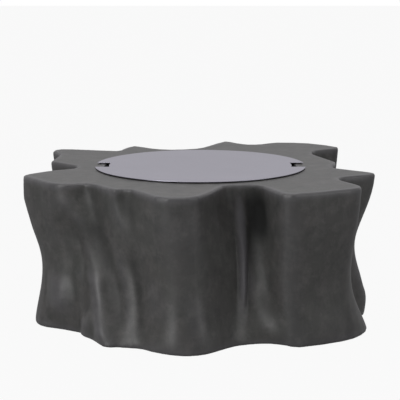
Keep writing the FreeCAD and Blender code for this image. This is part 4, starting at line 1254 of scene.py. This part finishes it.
@dataclass
class StarBurner:
    """The burner: a hub with six straight arms, with rows of flame ports along both sides."""

    arms: int = 6
    first_bearing: float = 90.0
    hub_radius: float = 32.0
    arm_radius: float = 9.5
    reach: float = 225.0
    port_pitch: float = 14.0
    port_length: float = 2.4
    port_depth: float = 1.6
    port_edge: float = 0.25
    port_slack: float = 0.1
    first_port: float = 12.0
    last_port: float = 16.0
    arm_root: float = 6.0
    end_ease: float = 3.0
    end_steps: int = 5
    hub_ease: float = 2.0
    hub_sides: int = 72
    bead: float = 1.6
    bead_steps: int = 6
    round_steps: int = 24

    def stations(self) -> list[tuple[float, float]]:
        """Lays out an arm along its length, with a ring at each end of every port.

        Returns:
            Its radius and height pairs, up to the domed end.
        """
        pairs = [(self.arm_radius, self.hub_radius - self.arm_root)]
        along = self.hub_radius + self.first_port
        while along < self.reach - self.last_port:
            pairs += [(self.arm_radius, along), (self.arm_radius, along + self.port_length)]
            along += self.port_pitch
        ease = self.end_ease
        flat = self.arm_radius - ease
        for i in range(self.end_steps):
            angle = math.pi / 2 * i / self.end_steps
            pairs.append((flat + ease * math.cos(angle), self.reach - ease + ease * math.sin(angle)))
        return pairs + [(0, self.reach)]

    def arm(self, shape: bmesh.types.BMesh, place: Matrix) -> None:
        """Adds one arm along the local z axis, with its ports cut in.

        Args:
            shape: where the arm is added.
            place: where it starts.
        """
        rings = turn(shape, self.stations(), self.round_steps, place)
        ports = []
        for low, high in zip(rings, rings[1:]):
            if len(high) == 1:
                continue
            length = (high[0].co - low[0].co).length
            if abs(length - self.port_length) > self.port_slack:
                continue
            for spot in (self.round_steps // 4, 3 * self.round_steps // 4):
                for face in low[spot].link_faces:
                    if low[(spot + 1) % self.round_steps] in face.verts and high[spot] in face.verts:
                        ports.append(face)
        bmesh.ops.inset_individual(shape, faces=ports, thickness=self.port_edge, depth=-self.port_depth)

    def build(self) -> None:
        """Builds the burner and dresses the pipe, the nuts and the sensors."""
        low, high = corners("burner_star")
        middle = (low.z + high.z) / 2
        shape = bmesh.new()
        radius, ease = self.hub_radius, self.hub_ease
        hub = (
            (0, low.z), (radius - ease, low.z), (radius, low.z + ease),
            (radius, high.z - ease), (radius - ease, high.z), (0, high.z),
        )
        turn(shape, hub, self.hub_sides, Matrix.Identity(4))
        bead = []
        for k in range(self.bead_steps + 1):
            swell = self.bead * math.sin(math.pi * k / self.bead_steps)
            bead.append((self.arm_radius + swell, radius - self.bead + 2 * self.bead * k / self.bead_steps))
        for i in range(self.arms):
            bearing = math.radians(self.first_bearing + 360 * i / self.arms)
            place = (
                Matrix.Translation((0, 0, middle)) @ Matrix.Rotation(bearing, 4, "Z")
                @ Matrix.Rotation(math.pi / 2, 4, "Y")
            )
            self.arm(shape, place)
            turn(shape, bead, self.round_steps, place)
        piece = finished("star_burner", shape, BurnerSteel())
        stand_for(piece, "burner_steel", Body.TABLE, "burner_star")
        dress(HeatEnamel(), "burner_pan")
        dress(PlainSteel(), "burner_nipple", "burner_locknuts", "sensor_clamp", "thermocouple")
        dress(Ceramic(), "spark_electrode")


@dataclass
class LavaBed:
    """Broken lava stones poured into the pan round the burner."""

    count: int = 540
    seed: int = 11
    smallest: float = 11.0
    largest: float = 22.0
    bed_radius: float = 333.0
    top: float = 512.0
    hub_clear: float = 36.0
    sensor_clear: float = 22.0
    pan_sheet: float = 2.0
    pan_gap: float = 2.2
    wall_radius: float = 336.0
    floor_sink: float = 0.8
    stone_sink: float = 0.92
    arm_sink: float = 0.9
    small_share: float = 1.4
    roundness: float = 0.86
    coarse_lumps: tuple[float, float] = (1.3, 0.42)
    fine_lumps: tuple[float, float] = (3.7, 0.16)
    lump_shift: tuple[float, float] = (3.1, 2.3)
    squash: tuple[tuple[float, float], ...] = ((0.78, 0.22), (0.7, 0.2))
    tries: int = 14

    def support(
        self, spot: np.ndarray, radius: float, placed: np.ndarray, floor: float, arm_z: float
    ) -> float:
        """Finds what a stone rests on: the floor, the arms or other stones.

        Args:
            spot: the stone's place from above.
            radius: its radius.
            placed: the stones that lie there already.
            floor: the height of the pan's floor.
            arm_z: the height of the arms' middle.

        Returns:
            The height of its centre.
        """
        height = floor + self.floor_sink * radius
        if len(placed):
            gap = np.hypot(placed[:, 0] - spot[0], placed[:, 1] - spot[1])
            touch = (placed[:, 3] + radius) * self.stone_sink
            over = gap < touch
            if over.any():
                rise = placed[over, 2] + np.sqrt(touch[over] ** 2 - gap[over] ** 2)
                height = max(height, float(rise.max()))
        burner = StarBurner()
        for i in range(burner.arms):
            bearing = math.radians(burner.first_bearing + 360 * i / burner.arms)
            along = spot[0] * math.cos(bearing) + spot[1] * math.sin(bearing)
            off = abs(spot[1] * math.cos(bearing) - spot[0] * math.sin(bearing))
            touch = radius * self.arm_sink + burner.arm_radius
            if 0 < along < burner.reach + radius and off < touch:
                height = max(height, arm_z + math.sqrt(touch**2 - off**2))
        return height

    def pour(self) -> np.ndarray:
        """Pours the stones one by one, each to the lowest of a few chance places.

        Returns:
            A row of x, y, z and radius for each stone.
        """
        chance = np.random.default_rng(self.seed)
        pan_low, _ = corners("burner_pan")
        star_low, star_high = corners("burner_star")
        floor = pan_low.z + self.pan_sheet
        arm_z = (star_low.z + star_high.z) / 2
        sensors = [((corners(n)[0] + corners(n)[1]) / 2) for n in ("spark_electrode", "thermocouple")]
        placed = np.empty((0, 4))
        for _ in range(self.count):
            radius = self.smallest + (self.largest - self.smallest) * chance.random() ** self.small_share
            best = None
            for _ in range(self.tries):
                reach = (self.bed_radius - radius) * math.sqrt(chance.random())
                bearing = chance.random() * 2 * math.pi
                spot = np.array((reach * math.cos(bearing), reach * math.sin(bearing)))
                if reach < self.hub_clear + radius:
                    continue
                clear = self.sensor_clear + radius
                if any(math.hypot(spot[0] - p.x, spot[1] - p.y) < clear for p in sensors):
                    continue
                height = self.support(spot, radius, placed, floor, arm_z)
                if height + radius < self.top and (best is None or height < best[2]):
                    best = (spot[0], spot[1], height, radius)
            if best is not None:
                placed = np.vstack([placed, best])
        return placed

    def lumps(self, unit: np.ndarray, number: int) -> np.ndarray:
        """Roughens a ball into one of the stones.

        Args:
            unit: the points of a ball.
            number: which stone it is.

        Returns:
            How far each point stands out.
        """
        (coarse, high), (fine, low) = self.coarse_lumps, self.fine_lumps
        first = Vector((number * self.lump_shift[0], 0, 0))
        second = Vector((0, number * self.lump_shift[1], 0))
        return np.array([
            noise.noise(Vector(p) * coarse + first) * high + noise.noise(Vector(p) * fine + second) * low
            for p in unit
        ])

    def build(self) -> None:
        """Breaks every stone out of a rough ball and joins them into one bed."""
        ball = bmesh.new()
        bmesh.ops.create_icosphere(ball, subdivisions=3, radius=1.0)
        unit = np.array([tuple(v.co) for v in ball.verts])
        faces = np.array([[v.index for v in f.verts] for f in ball.faces])
        ball.free()
        chance = np.random.default_rng(self.seed + 1)
        points, polygons, tones = [], [], []
        for number, (x, y, z, radius) in enumerate(self.pour()):
            spin = np.array(Euler(chance.random(3) * 2 * math.pi).to_matrix())
            lumps = self.lumps(unit, number)
            squash = np.array([1.0] + [least + more * chance.random() for least, more in self.squash])
            stone = (unit * (self.roundness + lumps)[:, None] * squash * radius) @ spin.T + (x, y, z)
            polygons.append(faces + len(unit) * number)
            points.append(stone)
            tones.append(np.full(len(unit), chance.random()))
        low, _ = corners("burner_pan")
        cloud = np.vstack(points)
        cloud[:, 2] = np.clip(cloud[:, 2], low.z + self.pan_gap, self.top)
        out = np.hypot(cloud[:, 0], cloud[:, 1])
        cloud[:, :2] *= np.minimum(1, self.wall_radius / np.maximum(out, 1e-6))[:, None]
        mesh = bpy.data.meshes.new("lava_bed")
        mesh.from_pydata(cloud * MM, [], np.vstack(polygons).tolist())
        mesh.shade_smooth()
        mark_points(mesh, "stone_tone", np.concatenate(tones))
        piece = new_object("lava_bed", mesh, LavaStone())
        stand_for(piece, "lava", Body.TABLE, "lava_rocks")


@dataclass
class Controls:
    """The rear controls: panel with dial marks, knob, valve and push-button igniter."""

    knob_x: float = -162.0
    button_x: float = -78.0
    level: float = 270.0
    skirt: float = 23.0
    crown: float = 21.0
    grip_width: float = 12.0
    grip_height: float = 9.0
    grip_reach: float = 19.0
    grip_ease: float = 2.4
    edge: float = 1.5
    flutes: int = 36
    flute_steps: int = 4
    flute_depth: float = 0.7
    pointer: float = 0.8
    pointer_ease: float = 0.2
    dial_inner: float = 27.5
    dial_outer: float = 33.0
    dial_turn: tuple[float, float] = (-60.0, 90.0)
    dial_steps: int = 48
    thinnest: float = 0.6
    tick: float = 0.9
    ink: float = 0.05
    spark_rise: float = 27.0
    spark: tuple[tuple[float, float], ...] = (
        (1.5, -6), (-3.5, 1), (-0.6, 1), (-1.5, 6), (3.5, -1), (0.6, -1),
    )
    dish: float = 0.8
    dish_steps: int = 6
    button_rim: float = 1.2
    button_sides: int = 64

    def knob(self) -> None:
        """A fluted cap with a rounded grip bar and a white pointer."""
        low, high = corners("control_knob")
        place = facing_rear(self.knob_x, low.y, self.level)
        depth = high.y - low.y
        cap = depth - self.grip_height + 1
        shape = bmesh.new()
        profile = (
            (6, 0.3), (self.skirt - 1, 0), (self.skirt, 1), (self.skirt - 0.3, 3.5), (self.crown + 0.6, 4.5),
            (self.crown, cap - self.edge), (self.crown - 0.45, cap - 0.45), (self.crown - self.edge, cap),
            (0, cap),
        )
        rings = turn(shape, profile, self.flutes * self.flute_steps, place)
        centre = place.translation
        wall = rings[4:6]
        for ring in wall:
            for i, vert in enumerate(ring):
                if i % self.flute_steps in (1, 2):
                    off = vert.co - centre
                    out = Vector((off.x, 0, off.z)).normalized()
                    vert.co -= out * self.flute_depth
        half, reach, wide = self.grip_width / 2, self.grip_reach, self.pointer
        block(shape, (-half, -reach, cap - 2), (half, reach, depth), self.grip_ease, place)
        piece = finished("knob", shape, MouldedPlastic())
        stand_for(piece, "black_plastic", Body.KNOB, "control_knob")
        mark = bmesh.new()
        block(mark, (-wide, -18.2, depth - 0.9), (wide, -7, depth + 0.1), self.pointer_ease, place)
        block(mark, (-wide, -19.15, depth - 6), (wide, -18.6, depth - 2.6), self.pointer_ease, place)
        stand_for(finished("knob_pointer", mark, PointerPaint()), "ceramic", Body.KNOB)

    def dial(self) -> None:
        """Baked marks on the panel: a tick for off, a wedge that grows with the flame, and a spark."""
        _, high = corners("control_panel")
        shape = bmesh.new()
        place = facing_rear(self.knob_x, high.y + self.ink, self.level)
        first, last = (math.radians(end) for end in self.dial_turn)
        inner, outer = [], []
        for i in range(self.dial_steps + 1):
            angle = first + (last - first) * i / self.dial_steps
            grown = (self.dial_outer - self.dial_inner - self.thinnest) * i / self.dial_steps
            width = self.thinnest + grown
            for ring, radius in ((inner, self.dial_inner), (outer, self.dial_inner + width)):
                spot = Vector((radius * math.cos(angle), radius * math.sin(angle), 0))
                ring.append(shape.verts.new(place @ spot))
        for i in range(self.dial_steps):
            shape.faces.new((inner[i], outer[i], outer[i + 1], inner[i + 1]))
        half, far, near = self.tick, -self.dial_outer - 1, -self.dial_inner
        tick = [(-half, far), (half, far), (half, near), (-half, near)]
        shape.faces.new([shape.verts.new(place @ Vector((x, y, 0))) for x, y in tick])
        spark_place = facing_rear(self.button_x, high.y + self.ink, self.level + self.spark_rise)
        shape.faces.new([shape.verts.new(spark_place @ Vector((x, y, 0))) for x, y in self.spark])
        stand_for(finished("dial_marks", shape, ScreenInk()), "black_plastic", Body.TABLE)

    def button(self) -> None:
        """The igniter's button: a plated plunger with a dished face and a rounded rim."""
        low, high = corners("igniter_button")
        radius = (high.x - low.x) / 2
        deep = high.y - low.y
        rim, steps = self.button_rim, self.dish_steps
        profile = [(0, 0), (radius, 0), (radius, deep - rim)]
        profile += [(radius - 0.35, deep - 0.35), (radius - rim, deep)]
        for k in range(1, steps):
            share = 1 - k / steps
            sunk = self.dish * math.sin(math.pi / 2 * k / steps)
            profile.append((radius * share - rim * share, deep - sunk))
        profile.append((0, deep - self.dish))
        shape = bmesh.new()
        turn(shape, profile, self.button_sides, facing_rear(self.button_x, low.y, self.level))
        stand_for(finished("push_button", shape, Chrome()), "button_chrome", Body.BUTTON, "igniter_button")

    def build(self) -> None:
        """Builds the knob, the dial marks and the button, and dresses the rest."""
        self.knob()
        self.dial()
        self.button()
        dress(BrushedStainless(), "control_panel")
        dress(MouldedPlastic(), "igniter_body")
        dress(DieCast(), "valve_body")
        dress(Brass(), "valve_plug")
        dress(PlainSteel(), "valve_stem")


@dataclass
class PanHeadScrews:
    """Cross-recess pan head screws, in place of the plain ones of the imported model."""

    head_radius: float = 4.5
    head_height: float = 2.5
    shank_radius: float = 2.5
    slot_width: float = 0.75
    slot_reach: float = 2.6
    slot_depth: float = 1.3
    sides: int = 48
    rings: int = 12
    below_dome: int = 5
    brim: float = 0.4
    dome_out: float = 0.55
    dome_up: float = 0.8
    tip: float = 0.15

    def screw(self, shape: bmesh.types.BMesh, place: Matrix, length: float) -> None:
        """Adds one screw whose head rises along the local z axis from its seat at zero.

        Args:
            shape: where the screw is added.
            place: where its seat is.
            length: how far its shank reaches.
        """
        profile = [(0, -length), (self.shank_radius - 1, -length), (self.shank_radius, 1 - length)]
        profile += [(self.shank_radius, 0), (self.head_radius, 0)]
        for k in range(self.rings):
            angle = math.pi / 2 * k / self.rings
            radius = self.head_radius * math.cos(angle) ** self.dome_out
            rise = self.brim + (self.head_height - self.brim) * math.sin(angle) ** self.dome_up
            profile.append((max(radius, self.tip), rise))
        profile.append((0, self.head_height))
        rings = turn(shape, profile, self.sides, place)
        lift = place.to_3x3() @ Vector((0, 0, 1))
        back = place.inverted()
        for ring in rings[self.below_dome:]:
            for vert in ring:
                spot = back @ vert.co
                across = min(abs(spot.x), abs(spot.y))
                if across < self.slot_width and math.hypot(spot.x, spot.y) < self.slot_reach:
                    vert.co -= lift * self.slot_depth

    def build(self) -> None:
        """Puts the four panel screws and the two bracket screws in place."""
        low, high = corners("panel_screws")
        plate = corners("control_panel")[1].y
        shape = bmesh.new()
        r = self.head_radius
        for x in (low.x + r, high.x - r):
            for z in (low.z + r, high.z - r):
                self.screw(shape, facing_rear(x, plate, z), plate - low.y)
        stand_for(finished("pan_head_screws", shape, PlainSteel()), "screw_steel", Body.TABLE, "panel_screws")
        low, high = corners("bracket_screws")
        under = low.z + self.head_height
        shape = bmesh.new()
        for x in (low.x + r, high.x - r):
            place = Matrix.Translation((x, (low.y + high.y) / 2, under)) @ Matrix.Rotation(math.pi, 4, "X")
            self.screw(shape, place, high.z - under)
        piece = finished("bracket_pan_heads", shape, PlainSteel())
        stand_for(piece, "screw_steel", Body.TABLE, "bracket_screws")


@dataclass
class GasLine:
    """The gas train under the pan, from the inlet through the valve's hose to the burner."""

    thread_pitch: float = 1.4
    thread_depth: float = 0.55
    axis_x: float = -162.0
    axis_z: float = 45.0
    hex_flat: float = 24.0
    hex_length: float = 10.0
    tail: float = 20.0
    thread: float = 15.0
    nose: float = 3.0
    radius: float = 7.94
    bore: float = 3.2
    port_radius: float = 6.5
    nose_root: float = 6.35
    nose_tip: float = 4.3
    lead_in: float = 0.6
    hex_ease: float = 0.9
    round_sides: int = 72
    crisp: float = 30.0

    def fitting(self) -> None:
        """The flare fitting: hexagon, cut threads and a bored nose."""
        low, _ = corners("inlet_fitting")
        place = facing_rear(self.axis_x, low.y, self.axis_z)
        shape = bmesh.new()
        radius, root = self.radius, self.radius - self.thread_depth
        start = self.tail + self.hex_length
        profile = [
            (self.port_radius, self.tail - 2.5), (self.port_radius, 0.4), (radius - self.lead_in, 0),
            (radius, self.lead_in), (radius, self.tail), (root, start),
        ]
        for k in range(int(self.thread / self.thread_pitch)):
            base = start + k * self.thread_pitch
            profile += [(radius, base + self.thread_pitch * 0.5), (root, base + self.thread_pitch)]
        end = start + self.thread
        tip = end + self.nose
        profile += [(self.nose_root, end), (self.nose_tip, tip), (self.bore, tip), (self.bore, start)]
        turn(shape, profile, self.round_sides, place)
        circle = self.hex_flat / 2 / math.cos(math.pi / 6)
        ease = self.hex_ease
        hexed = [(radius - 0.2, self.tail), (circle - ease, self.tail), (circle, self.tail + ease)]
        hexed += [(circle, start - ease), (circle - ease, start), (radius - 1, start)]
        turn(shape, hexed, 6, place)
        stand_for(finished("flare_fitting", shape, Brass(), self.crisp), "brass", Body.TABLE, "inlet_fitting")

    def build(self) -> None:
        """Builds the fitting and dresses the rest of the line."""
        self.fitting()
        dress(Brass(), "inlet_locknut", "hose_nuts", "gas_elbow", "air_mixer")
        dress(CorrugatedHose(), "gas_hose")
        dress(PaintedPipe(), "inlet_pipe")
        dress(PlainSteel(), "inlet_bracket", "heat_shield", "shield_spacers")
        dress(LeadSilicone(), "igniter_lead")
        dress(Copper(), "thermocouple_lead")


@dataclass(frozen=True)
class Lamp:
    """One rectangular soft lamp: its place, what it lights, its size in metres and its power."""

    name: str
    place: Point
    target: Point
    size: tuple[float, float]
    power: float


@dataclass
class Studio:
    """A plain white studio with soft light from above, seen as the photograph was taken."""

    camera_at: Point = (-1.3, -4800.0, 1276.0)
    pitch: float = 10.30
    lens: float = 114.66
    farthest: float = 300.0
    lamps: tuple[Lamp, ...] = (
        Lamp("overhead", (0.0, -0.9, 2.9), (0, -0.2, 0.4), (3.0, 3.0), 30.0),
        Lamp("key", (-2.2, -2.7, 1.5), (-0.2, -0.45, 0.8), (0.7, 2.6), 39.0),
        Lamp("right_fill", (2.6, -1.85, 1.2), (0.1, -0.4, 0.25), (1.6, 1.8), 14.0),
    )
    surround: str = "#fdfaff"
    dim: float = 0.04
    bright: float = 0.38
    floor_reach: float = 40.0
    floor_grey: str = "#8c8c8c"
    white_share: float = 0.94
    mirror_white: float = 0.4
    mirror_floor: float = 0.2
    hidden_floor: tuple[float, float] = (0.36, 0.44)

    def camera(self) -> None:
        """Makes the camera and makes it the scene's own."""
        data = bpy.data.cameras.new("camera")
        data.lens = self.lens
        data.clip_end = self.farthest
        camera = bpy.data.objects.new("camera", data)
        bpy.context.scene.collection.objects.link(camera)
        camera.location = Vector(self.camera_at) * MM
        camera.rotation_euler = (math.radians(90 - self.pitch), 0, 0)
        bpy.context.scene.camera = camera

    def hang(self, lamp: Lamp) -> None:
        """Hangs a lamp and turns it to its target.

        Args:
            lamp: the lamp.
        """
        data = bpy.data.lights.new(lamp.name, "AREA")
        data.shape = "RECTANGLE"
        data.size, data.size_y = lamp.size
        data.energy = lamp.power
        light = bpy.data.objects.new(lamp.name, data)
        bpy.context.scene.collection.objects.link(light)
        light.location = lamp.place
        light.rotation_euler = (Vector(lamp.target) - Vector(lamp.place)).to_track_quat("-Z", "Y").to_euler()

    def seen(self, tree: bpy.types.NodeTree, settings: dict | None = None, links: dict | None = None) -> Any:
        """Finds how white the surround is: fully for the eye, and partly in metal and through glass.

        Args:
            tree: the node tree of the world or the floor.
            settings: the part that metal and glass show, as a constant at input 1.
            links: the same as an output at input 1.

        Returns:
            The share of white.
        """
        path = add_node(tree, "LightPath")
        both = {0: path.outputs["Is Glossy Ray"], 1: path.outputs["Is Transmission Ray"]}
        mirror = add_node(tree, "Math", {"operation": "MAXIMUM"}, both)
        product = {"operation": "MULTIPLY", **(settings or {})}
        shown = add_node(tree, "Math", product, {0: mirror.outputs[0], **(links or {})})
        either = {0: path.outputs["Is Camera Ray"], 1: shown.outputs[0]}
        return add_node(tree, "Math", {"operation": "MAXIMUM"}, either).outputs[0]

    def world(self) -> None:
        """White for the eye, and a soft surround that is bright behind and dim on the camera's side."""
        world = bpy.data.worlds.new("studio")
        bpy.context.scene.world = world
        world.use_nodes = True
        tree = world.node_tree
        tree.nodes.clear()
        way = add_node(tree, "TexCoord").outputs["Generated"]
        back = add_node(tree, "SeparateXYZ", links={0: way}).outputs[1]
        smooth = {"interpolation_type": "SMOOTHSTEP"}
        level = add_node(
            tree, "MapRange", {**smooth, 1: -0.5, 2: 0.7, 3: self.dim, 4: self.bright}, {0: back}
        )
        behind = add_node(tree, "MapRange", {**smooth, 1: -0.2, 2: 0.8, 4: self.mirror_white}, {0: back})
        white = add_node(tree, "Background", {"Color": (1, 1, 1, 1), "Strength": 1.0})
        soft = add_node(tree, "Background", {"Color": linear(self.surround)}, {"Strength": level.outputs[0]})
        seen = self.seen(tree, links={1: behind.outputs[0]})
        mix = add_node(tree, "MixShader", links={0: seen, 1: soft.outputs[0], 2: white.outputs[0]})
        add_node(tree, "OutputWorld", links={"Surface": mix.outputs[0]})

    def floor_paint(self) -> bpy.types.Material:
        """Mixes the floor's paint: white for the eye, grey for bounced light and under the table.

        Returns:
            The material.
        """
        paint = bpy.data.materials.new("studio_floor")
        paint.use_nodes = True
        tree = paint.node_tree
        tree.nodes.clear()
        lit = add_node(tree, "BsdfDiffuse", {"Color": linear(self.floor_grey)})
        white = add_node(tree, "Emission", {"Color": (1, 1, 1, 1), "Strength": 1.0})
        place = add_node(tree, "NewGeometry").outputs["Position"]
        away = add_node(tree, "VectorMath", {"operation": "LENGTH"}, {0: place}).outputs["Value"]
        near, far = self.hidden_floor
        open_floor = add_node(tree, "MapRange", {1: near, 2: far, 3: 0.0, 4: self.white_share}, {0: away})
        seen = self.seen(tree, {1: self.mirror_floor})
        share = add_node(tree, "Math", {"operation": "MULTIPLY"}, {0: seen, 1: open_floor.outputs[0]})
        mix = add_node(tree, "MixShader", links={0: share.outputs[0], 1: lit.outputs[0], 2: white.outputs[0]})
        add_node(tree, "OutputMaterial", links={"Surface": mix.outputs[0]})
        return paint

    def floor(self) -> None:
        """Lays a white floor that keeps a pale shadow."""
        mesh = bpy.data.meshes.new("floor")
        reach = self.floor_reach
        corners = [(-reach, -reach, 0), (reach, -reach, 0), (reach, reach, 0), (-reach, reach, 0)]
        mesh.from_pydata(corners, [], [(0, 1, 2, 3)])
        mesh.materials.append(self.floor_paint())
        floor = bpy.data.objects.new("floor", mesh)
        bpy.context.scene.collection.objects.link(floor)

    def build(self) -> None:
        """Sets up the camera, the lamps, the world and the floor."""
        self.camera()
        for lamp in self.lamps:
            self.hang(lamp)
        self.world()
        self.floor()
        view = bpy.context.scene.view_settings
        view.view_transform = "Standard"


def main() -> None:
    """Builds the sub-assemblies in order."""
    StumpCasting().build()
    SteelLid().build()
    StarBurner().build()
    LavaBed().build()
    Controls().build()
    PanHeadScrews().build()
    GasLine().build()
    Studio().build()


if __name__ == "__main__":
    logging.basicConfig(level=logging.INFO)
    main()
